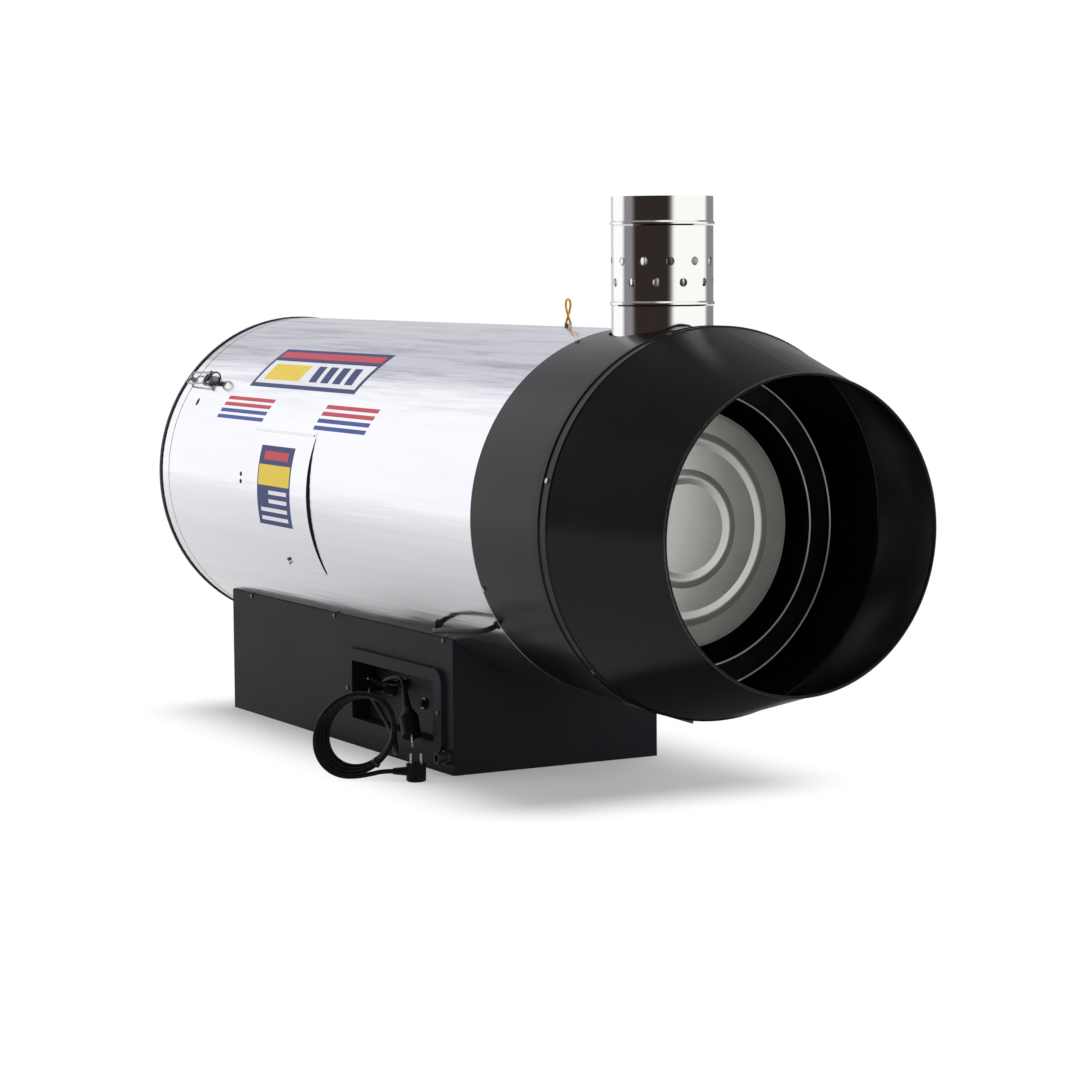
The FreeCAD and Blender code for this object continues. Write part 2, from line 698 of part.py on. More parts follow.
# Fan, shaft, motor on its bracket, shroud
fan_center = vec(0, fan_y, axis_z)
hub_front_y = fan_y - hub_length / 2
hub_rear_y = fan_y + hub_length / 2
motor_rear_y = hub_front_y - motor_gap
motor_front_y = motor_rear_y - motor_length
hub = turned([(hub_front_y, shaft_radius + running_gap), (hub_front_y, hub_radius),
              (hub_rear_y, hub_radius), (hub_rear_y, shaft_radius + running_gap)], axis_z)
fan_room = Part.makeCylinder(fan_radius, hub_length, fan_center - Y * hub_length / 2, Y).cut(
    Part.makeCylinder(hub_radius - blade_thickness, hub_length, fan_center - Y * hub_length / 2, Y))
blades = []
for k in range(blade_count):
    blade = Part.makeBox(blade_chord, blade_thickness, fan_radius,
                         vec(-blade_chord / 2, -blade_thickness / 2, 0))
    blade.rotate(vec(0, 0, 0), Z, blade_pitch)
    blade.rotate(vec(0, 0, 0), Y, k * 360 / blade_count)
    blade.translate(fan_center)
    blades.append(blade.common(fan_room))
nodes["fan_rotor"] = fused(hub, blades)
shaft_start_y = motor_rear_y - motor_bearing + running_gap
nodes["fan_shaft"] = rod(shaft_radius, vec(0, shaft_start_y, axis_z), vec(0, hub_rear_y, axis_z))
nodes["fan_motor"] = turned(
    [(motor_front_y, 0.0), (motor_front_y, motor_radius), (motor_rear_y, motor_radius),
     (motor_rear_y, shaft_radius + running_gap), (motor_rear_y - motor_bearing, shaft_radius + running_gap),
     (motor_rear_y - motor_bearing, 0.0)], axis_z)
bracket_y = (motor_front_y + motor_rear_y - bracket_width) / 2
band_inner = motor_radius + seat_gap
band_outer = band_inner + bracket_band
bracket_end_y = bracket_y + bracket_width
band = turned([(bracket_y, band_inner), (bracket_y, band_outer), (bracket_end_y, band_outer),
               (bracket_end_y, band_inner)], axis_z)
arm_room = Part.makeCylinder(casing_inner - seat_gap, bracket_width, vec(0, bracket_y, axis_z), Y).cut(
    Part.makeCylinder(band_inner + bracket_band / 2, bracket_width, vec(0, bracket_y, axis_z), Y))
arms = []
for angle in bracket_angles:
    arm = Part.makeBox(bracket_width, bracket_arm, casing_radius, vec(0, -bracket_arm / 2, -casing_radius))
    arms.append(placed(arm, drum_frame(casing_radius, angle, bracket_y)).common(arm_room))
nodes["motor_bracket"] = fused(band, arms)
shroud_inner = casing_inner - shroud_margin
shroud_front_y = fan_y - shroud_depth / 2
shroud_rear_y = fan_y + shroud_depth / 2
nodes["fan_shroud"] = turned(
    [(shroud_front_y, shroud_inner), (shroud_front_y, shroud_inner + sheet),
     (fan_y, shroud_inner + sheet), (fan_y, casing_inner - seat_gap),
     (fan_y + sheet, casing_inner - seat_gap), (fan_y + sheet, shroud_inner + sheet),
     (shroud_rear_y, shroud_inner + sheet), (shroud_rear_y, shroud_inner)], axis_z)

# Access door with a barrel hinge along its top edge
door_y0 = ring_rear_y + door_setback
door_y1 = door_y0 + door_length
panel_y0 = door_y0 + door_front_gap
panel_y1 = door_y1 - door_gap
barrel_radius = casing_radius - sheet / 2
barrel_arc = degrees((hinge_barrel + hinge_gap) / casing_radius)
gap_arc = degrees(door_gap / casing_radius)
door_hole = sector(casing_inner - sheet, casing_radius + sheet, door_y0, door_y1, door_bottom_angle,
                   door_top_angle + barrel_arc, axis_z)
door_panel = sector(casing_inner, casing_radius, panel_y0, panel_y1, door_bottom_angle + gap_arc,
                    door_top_angle, axis_z)
leaf_outer = casing_inner - hinge_seat
leaf = sector(leaf_outer - sheet, leaf_outer, panel_y0, panel_y1, door_top_angle,
              door_top_angle + hinge_leaf_arc, axis_z)
segment = (panel_y1 - panel_y0) / hinge_segments


def hinge_rod(radius, y0, y1):
    start, end = [drum_point(barrel_radius, door_top_angle, y) for y in (y0, y1)]
    return rod(radius, start, end)


pin_hole = hinge_rod(hinge_pin + running_gap, panel_y0, panel_y1)
for k in range(hinge_segments):
    y0 = panel_y0 + k * segment + hinge_gap / 2
    y1 = y0 + segment - hinge_gap
    clear = hinge_rod(hinge_barrel + hinge_gap, y0 - hinge_gap, y1 + hinge_gap)
    knuckle = hinge_rod(hinge_barrel, y0, y1)
    if k % 2:
        leaf = leaf.cut(clear)
        door_panel = fused(door_panel, [knuckle])
    else:
        door_panel = door_panel.cut(clear)
        leaf = fused(leaf, [knuckle])
nodes["door_hinge_leaf"] = leaf.cut(pin_hole)
nodes["door_hinge_pin"] = hinge_rod(hinge_pin, panel_y0, panel_y1)
fastener_angle = door_bottom_angle + gap_arc + degrees(fastener_inset / casing_radius)
fastener_y = (door_y0 + door_y1) / 2 + fastener_shift
fastener_frame = drum_frame(casing_radius, fastener_angle, fastener_y)
shaft_way = Part.makeCylinder(fastener_shaft + running_gap, 4 * sheet, vec(0, 0, -3 * sheet))
nodes["access_door"] = door_panel.cut(pin_hole).cut(placed(shaft_way, fastener_frame))
tongue_z = -sheet - tongue_depth - tongue_thickness
fastener = fused(
    Part.makeCylinder(fastener_head, fastener_head_height, vec(0, 0, seat_gap)),
    [Part.makeCylinder(fastener_shaft, seat_gap - tongue_z, vec(0, 0, tongue_z)),
     Part.makeBox(tongue_width, tongue_length, tongue_thickness, vec(-tongue_width / 2, 0, tongue_z))])
slot_spot = vec(-fastener_head, -fastener_slot / 2, fastener_head_height - fastener_slot)
fastener = fastener.cut(Part.makeBox(2 * fastener_head, fastener_slot, fastener_head_height, slot_spot))
nodes["door_fastener"] = placed(fastener, fastener_frame)

# Casing with its openings
casing = turned([(casing_front_y, casing_inner), (casing_front_y, casing_radius),
                 (seam_y, casing_radius), (seam_y, casing_inner)], axis_z)
gas_hole = Part.makeCylinder(gas_hole_radius, chamber_z, vec(0, gas_y, 0))
test_holes = [placed(Part.makeCylinder(test_hole_radius, 6 * sheet, vec(0, 0, -3 * sheet)),
                     drum_frame(casing_radius, a, ring_rear_y + test_hole_setback)) for a in test_hole_angles]
slit = placed(Part.makeBox(slit_size[1], slit_size[0], 6 * sheet, vec(0, 0, -3 * sheet)),
              drum_frame(casing_radius, slit_angle, seam_y - slit_setback))
nodes["casing_shell"] = casing.cut([door_hole, flue_cut, gas_hole, slit] + test_holes)

# Draw latches: mounts with ears and pins, keepers, levers with a pull ring, wire bails
latch_y = seam_y - latch_setback
base_x, base_y, base_z = latch_base
keeper_x, keeper_y, keeper_z = keeper_size
pivot = vec(0, 0, latch_pivot_height)
hook_pin_spot = vec(-hook_pin_offset, 0, latch_pivot_height + hook_pin_rise)
hook_end = vec(keeper_reach + keeper_x + hook_wire + hook_slack, 0, hook_end_height)
ear_outside = latch_ear_gap + latch_ear
mount = fused(
    Part.makeBox(base_x, base_y, base_z, vec(-base_x / 2, -base_y / 2, 0)),
    [Part.makeBox(latch_ear_length, latch_ear, latch_pivot_height + latch_barrel,
                  vec(-latch_ear_length / 2, side * (latch_ear_gap + latch_ear / 2) - latch_ear / 2, 0))
     for side in (-1, 1)] + [rod(latch_pin, pivot - Y * ear_outside, pivot + Y * ear_outside)])
keeper = Part.makeBox(keeper_x, keeper_y, keeper_z, vec(keeper_reach, -keeper_y / 2, 0))
lever_tip = vec(-lever_length, 0, 0)
ring_rise = latch_pivot_height + lever_ring - lever_thickness
lever_half = latch_ear_gap - hole_gap
lever_body = fused(
    rod(latch_barrel, pivot - Y * lever_half, pivot + Y * lever_half),
    [Part.makeBox(lever_length, lever_width, lever_thickness,
                  vec(-lever_length, -lever_width / 2, latch_pivot_height - lever_thickness / 2)),
     Part.makeBox(2 * hook_wire, lever_width, hook_pin_rise + hook_wire,
                  hook_pin_spot - vec(hook_wire, lever_width / 2, hook_pin_rise)),
     rod(hook_wire, hook_pin_spot - Y * (hook_half_width + hook_eye_half),
         hook_pin_spot + Y * (hook_half_width + hook_eye_half)),
     Part.makeTorus(lever_ring, lever_ring_wire, lever_tip + Z * ring_rise, X)])
lever_bore = rod(latch_pin + running_gap, pivot - Y * latch_ear_gap, pivot + Y * latch_ear_gap)
lever_body = lever_body.cut(lever_bore)
hook_feet = [hook_pin_spot + Y * (side * hook_half_width) for side in (-1, 1)]
hook_corners = [hook_end + Y * (side * hook_half_width) for side in (-1, 1)]
bail_wire = route([hook_feet[0], hook_corners[0], hook_corners[1], hook_feet[1]])[0]
hook_eyes = [rod(hook_eye, foot - Y * hook_eye_half, foot + Y * hook_eye_half) for foot in hook_feet]
hook_bore = rod(hook_wire + running_gap, hook_pin_spot - Y * 2 * hook_half_width,
                hook_pin_spot + Y * 2 * hook_half_width)
hook = fused(swept(bail_wire, hook_wire), hook_eyes).cut(hook_bore)
latch_mounts = []
for name, angle in (("left", latch_angle), ("right", 180 - latch_angle)):
    frame = drum_frame(casing_radius + seat_gap, angle, latch_y)
    latch_mounts += [placed(mount, frame), placed(keeper, frame)]
    nodes["latch_lever_" + name] = placed(lever_body, frame)
    nodes["latch_hook_" + name] = placed(hook, frame)
nodes["latch_mounts"] = Part.makeCompound(latch_mounts)

# Base box: folded tray with end walls, side covers, inner rails
drum_room = Part.makeCylinder(casing_radius + seat_gap, total_length, vec(0, lip_y, axis_z), Y)
floor_sheet = block(-base_inner, base_inner, base_front_y, base_rear_y, 0, sheet)
front_wall = block(-base_inner, base_inner, base_front_y, base_front_y + sheet, 0, base_height)
rear_wall = block(-base_inner, base_inner, base_rear_y - sheet, base_rear_y, 0, base_height)
nodes["base_tray"] = fused(floor_sheet, [front_wall, rear_wall]).cut(drum_room)
rail_inner = base_inner - rail_thickness
rail_top = axis_z - sqrt(casing_radius ** 2 - rail_inner ** 2) - rail_drop
nodes["side_rails"] = Part.makeCompound(
    [block(min(s * rail_inner, s * base_inner), max(s * rail_inner, s * base_inner), base_front_y + sheet,
           base_rear_y - sheet, rail_top - rail_height, rail_top) for s in (-1, 1)])

# Control panel: raised bezel, pocket behind its window, sloped plate
bezel_width, bezel_tall = bezel_size
bezel_mid_y = base_front_y + bezel_offset + bezel_width / 2
bezel_mid_z = bezel_height + bezel_tall / 2
face_frame = FreeCAD.Placement(vec(-base_half, bezel_mid_y, bezel_mid_z),
                               FreeCAD.Rotation(-Y, Z, -X, "ZXY"))
window_width = bezel_width - 2 * window_margin[0]
window_tall = bezel_tall - 2 * window_margin[1]
pan = rounded_plate(bezel_width, bezel_tall, bezel_corner, bezel_proud)
pan_room = rounded_plate(bezel_width - 2 * sheet, bezel_tall - 2 * sheet, bezel_corner - sheet,
                         bezel_proud - sheet)
window = rounded_plate(window_width, window_tall, window_corner, 2 * bezel_proud)
bezel_screws = [FreeCAD.Placement(vec(side * (bezel_width / 2 - bezel_screw_inset), 0, bezel_proud),
                                  FreeCAD.Rotation()) for side in (-1, 1)]
bezel = pan.cut([pan_room, window] + [screw_hole(f) for f in bezel_screws])
nodes["control_bezel"] = placed(bezel, face_frame)
pocket_depth = pocket_high + pocket_tail
pocket_outside = rounded_plate(window_width + 2 * sheet, window_tall + 2 * sheet, window_corner + sheet,
                               pocket_depth)
pocket_inside = rounded_plate(window_width, window_tall, window_corner, pocket_depth)
pocket = pocket_outside.cut(pocket_inside)
pocket.translate(Z * (bezel_proud - sheet - pocket_depth))
nodes["control_recess"] = placed(pocket, face_frame)
pocket_way = rounded_plate(window_width + 2 * sheet + 2 * hole_gap, window_tall + 2 * sheet + 2 * hole_gap,
                           window_corner + sheet + hole_gap, 4 * sheet)
pocket_way.translate(-Z * 2 * sheet)
pocket_way = placed(pocket_way, face_frame)
screw_line_z = base_height - side_screw_drop
side_stations = (side_screw_front, base_length / 2, base_length - side_screw_rear)
side_frames = {}
for name, side in (("left", -1), ("right", 1)):
    turn = FreeCAD.Rotation(Z, X * side)
    side_frames[name] = [FreeCAD.Placement(vec(side * base_half, base_front_y + s, screw_line_z), turn)
                         for s in side_stations]
    cover = block(min(side * base_half, side * base_inner), max(side * base_half, side * base_inner),
                  base_front_y, base_rear_y, 0, base_height)
    cover = cover.cut([screw_hole(f) for f in side_frames[name]])
    if side < 0:
        cover = cover.cut([pocket_way, inlet_hole])
    nodes["side_cover_" + name] = cover
panel_frames = side_frames["left"] + side_frames["right"] + [face_frame.multiply(f) for f in bezel_screws]
nodes["panel_screws"] = Part.makeCompound([screw(f) for f in panel_frames])

plate_run = sqrt(window_tall ** 2 + (pocket_high - pocket_low) ** 2)
plate_tilt = degrees(acos(window_tall / plate_run))
plate_middle = vec(-base_half - bezel_proud + (pocket_low + pocket_high) / 2, bezel_mid_y, bezel_mid_z)
plate_up = vec(sin(radians(plate_tilt)), 0, cos(radians(plate_tilt)))
plate_out = (-Y).cross(plate_up)
plate_frame = FreeCAD.Placement(plate_middle, FreeCAD.Rotation(-Y, plate_up, plate_out, "ZXY"))
slope = Part.makeBox(window_width - 2 * seat_gap, 2 * window_tall, plate,
                     vec(seat_gap - window_width / 2, -window_tall, -plate))
pocket_room = rounded_plate(window_width - 2 * seat_gap, window_tall - 2 * seat_gap, window_corner,
                            pocket_depth)
pocket_room.translate(Z * (bezel_proud - sheet - pocket_depth))
control_plate = placed(slope, plate_frame).common(placed(pocket_room, face_frame))


def on_plate(spot, length, radius, start):
    """Cylinder square to the sloped plate; the spot is rearwards and up from the plate's middle."""
    return placed(Part.makeCylinder(radius, length, vec(-spot[0], spot[1], start)), plate_frame)


plate_holes = [on_plate(toggle_spot, 3 * plate, toggle_ball + running_gap, -2 * plate),
               on_plate(reset_spot, 3 * plate, reset_button_radius + running_gap, -2 * plate)]
nodes["control_plate"] = control_plate.cut(plate_holes)
toggle_base = placed(hexagon(2 * toggle_nut, toggle_nut_length).fuse(
    Part.makeCylinder(toggle_bush, toggle_bush_length)).removeSplitter(), plate_frame.multiply(
        FreeCAD.Placement(vec(-toggle_spot[0], toggle_spot[1], 0), FreeCAD.Rotation())))
toggle_pivot = vec(-toggle_spot[0], toggle_spot[1], toggle_bush_length / 2)
pin_reach = X * (toggle_bush - seat_gap)
pin_way = placed(rod(toggle_pin + running_gap, toggle_pivot - X * toggle_nut, toggle_pivot + X * toggle_nut),
                 plate_frame)
ball_way = on_plate(toggle_spot, toggle_bush_length, toggle_ball + running_gap, 0)
toggle_base = toggle_base.cut([ball_way, pin_way])
reset_ring = on_plate(reset_spot, reset_collar_length, reset_collar, 0).cut(
    on_plate(reset_spot, reset_collar_length, reset_button_radius + running_gap, 0))
nodes["switch_bushes"] = Part.makeCompound([toggle_base, reset_ring])
toggle = fused(Part.makeSphere(toggle_ball),
               [Part.makeCone(toggle_stem, toggle_knob, toggle_stem_length),
                Part.makeSphere(toggle_knob, Z * toggle_stem_length), rod(toggle_pin, -pin_reach, pin_reach)])
toggle.rotate(vec(0, 0, 0), X, -toggle_tilt)
toggle.translate(toggle_pivot)
nodes["toggle_lever"] = placed(toggle, plate_frame)
nodes["reset_button"] = on_plate(reset_spot, reset_depth + reset_proud, reset_button_radius, -reset_depth)


def gland(spot, radius):
    nut = hexagon(2 * gland_nut, gland_nut_length)
    boot = Part.makeCone(gland_nut - sheet, radius + sheet, gland_length - gland_nut_length,
                         Z * gland_nut_length)
    return placed(fused(nut, [boot]), plate_frame.multiply(
        FreeCAD.Placement(vec(-spot[0], spot[1], 0), FreeCAD.Rotation())))


def gland_tip(spot):
    return plate_frame.multVec(vec(-spot[0], spot[1], gland_length))


nodes["cord_glands"] = Part.makeCompound([gland(mains_gland_spot, cord_radius),
                                          gland(lead_gland_spot, lead_radius)])

# Mains cord: lead from the panel, standing coil, tail and plug on the floor
def panel_spot(offset):
    """Point by the panel: out of the bezel's face, rearwards from its middle, up from its foot."""
    return vec(-base_half - bezel_proud - offset[0], bezel_mid_y + offset[1], bezel_height + offset[2])


coil_side = vec(cos(radians(coil_facing)), sin(radians(coil_facing)), 0)
coil_near = coil_side.cross(Z)
coil_base = panel_spot((coil_foot[0], coil_foot[1], cord_radius + coil_clear - bezel_height))


def coil_spot(side, height, depth):
    return coil_base + coil_side * side + Z * height + coil_near * depth


def coil_point(angle):
    """Centre line: loops that grow and drift from the inner to the outer turn, and move towards the front."""
    share = (angle - coil_start) / (coil_end - coil_start)
    side, height, wide, tall = [a + (b - a) * share for a, b in zip(coil_inner, coil_outer)]
    up = tall * sin(radians(angle))
    side += wide * cos(radians(angle)) + coil_shear * up
    depth = coil_depth[0] + (coil_depth[1] - coil_depth[0]) * share
    return coil_spot(side, height + up - cord_radius - coil_clear, depth)


def coil_way(angle):
    step = 0.01
    return (coil_point(angle + step) - coil_point(angle - step)).normalize()


def biarc(p0, t0, p1, t1):
    """Two arcs that leave p0 along t0, meet smoothly and reach p1 along t1."""
    v = p1 - p0
    t = t0 + t1
    spread = 2 * (1 - t0.dot(t1))
    d = (-v.dot(t) + sqrt(v.dot(t) ** 2 + spread * v.dot(v))) / spread
    meet = (p0 + t0 * d + p1 - t1 * d) / 2
    first = Part.Arc(p0, arc_middle(p0, t0, meet), meet).toShape()
    last = Part.Arc(meet, arc_middle(p1, -t1, meet), p1).toShape()
    return [first, last]


def arc_middle(start, way, end):
    """Middle of the arc that leaves start along a direction and passes through end."""
    chord = end - start
    length = chord.Length
    along = chord / length
    half = acos(max(-1.0, min(1.0, along.dot(way)))) / 2
    side = (way - along * along.dot(way)).normalize()
    return start + chord / 2 + side * (length / 2 * tan(half))


coil_steps = ceil((coil_end - coil_start) / coil_knot_step)
coil_angles = [coil_start + (coil_end - coil_start) * k / coil_steps for k in range(coil_steps + 1)]
coil_knots = [(coil_point(a), coil_way(a)) for a in coil_angles]
coil_first, coil_first_way = coil_knots[0]
coil_last, coil_last_way = coil_knots[-1]
cord_stub = 2 * cord_radius
coil_edges = [Part.LineSegment(coil_first - coil_first_way * cord_stub, coil_first).toShape()]
for (p0, t0), (p1, t1) in zip(coil_knots, coil_knots[1:]):
    coil_edges += biarc(p0, t0, p1, t1)
coil_edges.append(Part.LineSegment(coil_last, coil_last + coil_last_way * cord_stub).toShape())
coil_wire = Part.Wire(coil_edges)
nodes["mains_coil"] = swept(coil_wire, cord_radius)
coil_trace = []
for edge in coil_wire.OrderedEdges:
    coil_trace += edge.discretize(24)[:-1]
apart = int(0.5 * 24 * 2 * coil_steps / (coil_end - coil_start) * 360)
least = min(coil_trace[i].distanceToPoint(coil_trace[j])
            for i in range(len(coil_trace)) for j in range(i + apart, len(coil_trace)))
print("coil length", round(coil_wire.Length, 1), "gap to itself", round(least - 2 * cord_radius, 2), "volume",
      round(nodes["mains_coil"].Volume / (pi * cord_radius ** 2 * coil_wire.Length), 4),
      "lowest", round(min(p.z for p in coil_trace) - cord_radius, 2))

mains_tip = gland_tip(mains_gland_spot)
coil_entry = coil_first - coil_first_way * cord_stub
lead_points = [mains_tip, mains_tip + plate_out * cord_run] + [panel_spot(p) for p in lead_way]
lead_points += [coil_entry - coil_first_way * coil_run, coil_entry]
nodes["mains_lead"] = cord_solid("mains_lead", lead_points, cord_radius)

floor_plug_foot = coil_spot(floor_plug_side, 0, floor_plug_depth)
floor_plug_foot.z = 0
boot_end = floor_plug_foot + Z * floor_plug_seat - coil_side * (plug_radius + floor_plug_boot)
coil_exit = coil_last + coil_last_way * cord_stub
tail_points = [coil_exit, coil_exit + coil_last_way * tail_run, boot_end - coil_side * tail_run, boot_end]
nodes["mains_tail"] = cord_solid("mains_tail", tail_points, cord_radius)


def plug_pins(face, way, across):
    return [rod(plug_pin_radius, face + across * (s * plug_pin_spacing / 2),
                face + across * (s * plug_pin_spacing / 2) + way * plug_pin_length) for s in (-1, 1)]


floor_body = Part.makeCylinder(plug_radius, floor_plug_height, floor_plug_foot)
floor_body = floor_body.makeFillet(2 * plate, floor_body.Edges[2:3])
floor_boot = Part.makeCone(plug_boot_radius + plate, cord_radius + sheet, plug_radius + floor_plug_boot,
                           floor_plug_foot + Z * floor_plug_seat, -coil_side)
nodes["mains_plug"] = fused(floor_body, [floor_boot])
hung_way = vec(*hung_plug_way).normalize()
hung_top = panel_spot(hung_plug_top)
boot_foot = plug_body + plug_taper
hung_length = boot_foot + plug_boot
hung_frame = FreeCAD.Placement(hung_top + hung_way * hung_length, FreeCAD.Rotation(Z, hung_way))
hung_plug = turned_up([(0, 0), (plug_radius, 0), (plug_radius, -plug_body), (plug_boot_radius, -boot_foot),
                       (lead_radius + sheet, -hung_length), (0, -hung_length)], vec(0, 0, 0))
nodes["thermostat_plug"] = placed(hung_plug, hung_frame)
hung_across = hung_frame.Rotation.multVec(Y)
nodes["plug_pins"] = Part.makeCompound(
    plug_pins(floor_plug_foot + Z * floor_plug_height, Z, coil_side)
    + plug_pins(hung_frame.Base, hung_way, hung_across))

lead_tip = gland_tip(lead_gland_spot)
short_points = [lead_tip, lead_tip + plate_out * cord_run] + [panel_spot(p) for p in short_way]
short_points += [hung_top - hung_way * hung_run, hung_top]
nodes["thermostat_lead"] = cord_solid("thermostat_lead", short_points, lead_radius)

tie_spots = [coil_point(tie_station - 360 * k) for k in range(ceil((tie_station - coil_start) / 360))]
tie_way = coil_way(tie_station)
tie_frame = FreeCAD.Placement(coil_point(tie_station),
                              FreeCAD.Rotation(coil_near, tie_way.cross(coil_near), tie_way, "ZXY"))
tie_seen = [tie_frame.inverse().multVec(p) for p in tie_spots]
tie_margin = cord_radius + hole_gap
tie_x = [min(p.x for p in tie_seen) - tie_margin, max(p.x for p in tie_seen) + tie_margin]
tie_y = [min(p.y for p in tie_seen) - tie_margin, max(p.y for p in tie_seen) + tie_margin]
tie_mid = vec(sum(tie_x) / 2, sum(tie_y) / 2, -tie_width / 2)
tie_room = rounded_plate(tie_x[1] - tie_x[0], tie_y[1] - tie_y[0], cord_radius, tie_width)
tie_band = rounded_plate(tie_x[1] - tie_x[0] + 2 * tie_thickness, tie_y[1] - tie_y[0] + 2 * tie_thickness,
                         cord_radius + tie_thickness, tie_width).cut(tie_room)
tie_band.translate(tie_mid)
nodes["coil_tie"] = placed(tie_band, tie_frame)

# Sensor conduit over the casing, hanging loop on top, rail under the ring
conduit_points = [drum_point(casing_radius + seat_gap + lift, turn, ring_rear_y + station)
                  for turn, station, lift in zip(conduit_turns, conduit_stations, conduit_lifts)]
nodes["sensor_conduit"] = cord_solid("sensor_conduit", conduit_points, conduit_radius)

loop_frame = drum_frame(casing_radius + seat_gap, 90, ring_rear_y + loop_setback)
loop_frame = loop_frame.multiply(FreeCAD.Placement(vec(0, 0, 0), FreeCAD.Rotation(Z, loop_turn)))
loop_span = sqrt(loop_rise ** 2 + loop_foot ** 2)
loop_touch = pi - acos(loop_radius / loop_span) - acos(loop_foot / loop_span)
loop_foot_z = loop_nut_height + seat_gap + loop_wire * loop_radius / loop_rise
loop_top = vec(0, 0, loop_foot_z + loop_rise)
left_touch = loop_top + vec(-cos(loop_touch), 0, -sin(loop_touch)) * loop_radius
right_touch = loop_top + vec(cos(loop_touch), 0, -sin(loop_touch)) * loop_radius
loop_wire_path = Part.Wire([
    Part.LineSegment(vec(-loop_foot, 0, loop_foot_z), left_touch).toShape(),
    Part.Arc(left_touch, loop_top + Z * loop_radius, right_touch).toShape(),
    Part.LineSegment(right_touch, vec(loop_foot, 0, loop_foot_z)).toShape()])
nodes["wire_loop"] = placed(swept(loop_wire_path, loop_wire), loop_frame)
loop_nut_solid = placed(hexagon(2 * loop_nut, loop_nut_height), loop_frame)
nodes["drum_screws"] = Part.makeCompound([screw(f) for f in ring_frames + collar_frames] + [loop_nut_solid])

flare_run = ring_rear_y - shoulder_y
rail_slope = degrees(acos(flare_run / sqrt(flare_run ** 2 + ring_flare ** 2)))
support = fused(
    block(-rail_flange / 2, rail_flange / 2, -rail_front, rail_back, -rail_sheet, 0),
    [block(-rail_flange / 2, rail_sheet - rail_flange / 2, -rail_front, rail_back, -rail_web, 0)])
rail_hole_spot = vec(-rail_flange, -rail_hole_setback, -rail_web / 2)
support = support.cut(Part.makeCylinder(rail_hole, rail_flange, rail_hole_spot, X))
support.rotate(vec(0, 0, 0), X, rail_slope)
support.translate(vec(0, ring_rear_y, axis_z - ring_rear_radius - seat_gap))
nodes["outlet_support_rail"] = support

os.makedirs("parts", exist_ok=True)
for name, shape in nodes.items():
    if not shape.isValid():
        print("invalid", name)
    shape.exportStep("parts/" + name + ".step")
print(len(nodes), "nodes")
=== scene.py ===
import bmesh
import bpy
import numpy as np
from mathutils import Matrix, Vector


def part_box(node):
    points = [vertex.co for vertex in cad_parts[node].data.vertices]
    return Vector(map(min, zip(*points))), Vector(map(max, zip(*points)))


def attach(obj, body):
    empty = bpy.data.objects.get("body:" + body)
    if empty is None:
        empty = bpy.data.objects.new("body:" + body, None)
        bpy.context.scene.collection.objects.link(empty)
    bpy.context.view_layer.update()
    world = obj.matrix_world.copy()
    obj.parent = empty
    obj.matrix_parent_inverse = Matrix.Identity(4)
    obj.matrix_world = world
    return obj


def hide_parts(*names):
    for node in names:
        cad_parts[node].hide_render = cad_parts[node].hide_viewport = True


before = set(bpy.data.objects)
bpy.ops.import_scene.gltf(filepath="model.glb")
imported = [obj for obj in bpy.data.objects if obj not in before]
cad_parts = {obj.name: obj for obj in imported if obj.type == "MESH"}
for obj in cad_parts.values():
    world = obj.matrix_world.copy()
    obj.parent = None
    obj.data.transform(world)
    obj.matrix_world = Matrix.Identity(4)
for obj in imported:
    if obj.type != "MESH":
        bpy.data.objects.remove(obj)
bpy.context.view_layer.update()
scene = bpy.context.scene
scene.view_settings.view_transform = "Standard"

# Viewpoint: a long lens in front of the outlet and to the left of it, a little above the drum's axis.
# The picture is square, and the lens axis passes through its middle.
view_from = np.array([-2.7847, -5.0924, 0.9638])
view_turn, view_rise, view_roll = np.radians([-29.15, 5.37, -0.38])
view_lens, film_width = 100.4, 36.0
view_back = np.array([np.sin(view_turn) * np.cos(view_rise), -np.cos(view_turn) * np.cos(view_rise),
                      np.sin(view_rise)])
view_level = np.array([np.cos(view_turn), np.sin(view_turn), 0.0])
view_upright = np.cross(view_back, view_level)
view_axes = np.eye(4)
view_axes[:3, 0] = np.cos(view_roll) * view_level + np.sin(view_roll) * view_upright
view_axes[:3, 1] = np.cos(view_roll) * view_upright - np.sin(view_roll) * view_level
view_axes[:3, 2] = view_back
view_axes[:3, 3] = view_from
camera = bpy.data.objects.new("camera", bpy.data.cameras.new("camera"))
scene.collection.objects.link(camera)
camera.matrix_world = Matrix(view_axes.tolist())
camera.data.lens = view_lens
camera.data.sensor_width = film_width
camera.data.clip_end = 60.0
scene.camera = camera

# Studio: a pale paper sweep under soft lights overhead, at the left, at the right and in front.
# Bright metal shows the room: white walls at the rear left and at the lens's right, dark behind the lens.
# It shows the paper too, with a painted shadow: for reflections the paper glows dim near the box and paler
# away from it.
paper_white, paper_reach = "#F4F4F3", 9.0
shade_middle, shade_half = (-0.01, 0.175, 0.0), (0.205, 0.63, 0.0)
shade_reach, shade_lift = 0.25, 0.14
glossy_shadow_middle, glossy_shadow_half = (0.05, -0.25, 0.0), (0.3, 0.75, 0.0)
glossy_shadow_dim, glossy_shadow_reach, glossy_shadow_bend = 0.06, 6.0, 0.18
room_dim, room_grey, room_dark = "#8E8D92", "#D6D6DB", "#312926"
room_fill, room_white = (0.56, 0.56, 0.57, 1), (1, 1, 1, 1)
rear_white, right_white = (1.12, 1.12, 1.14, 1), (1.1, 1.1, 1.09, 1)
end_side, top_side, rear_side = (0, 1, 0), (0.3, -0.2, 0.93), (-0.448, 0.869, 0.209)
right_side, dark_side = (0.613, -0.789, 0.05), (-0.834, -0.542, 0.1)
weld_reach = 1e-7


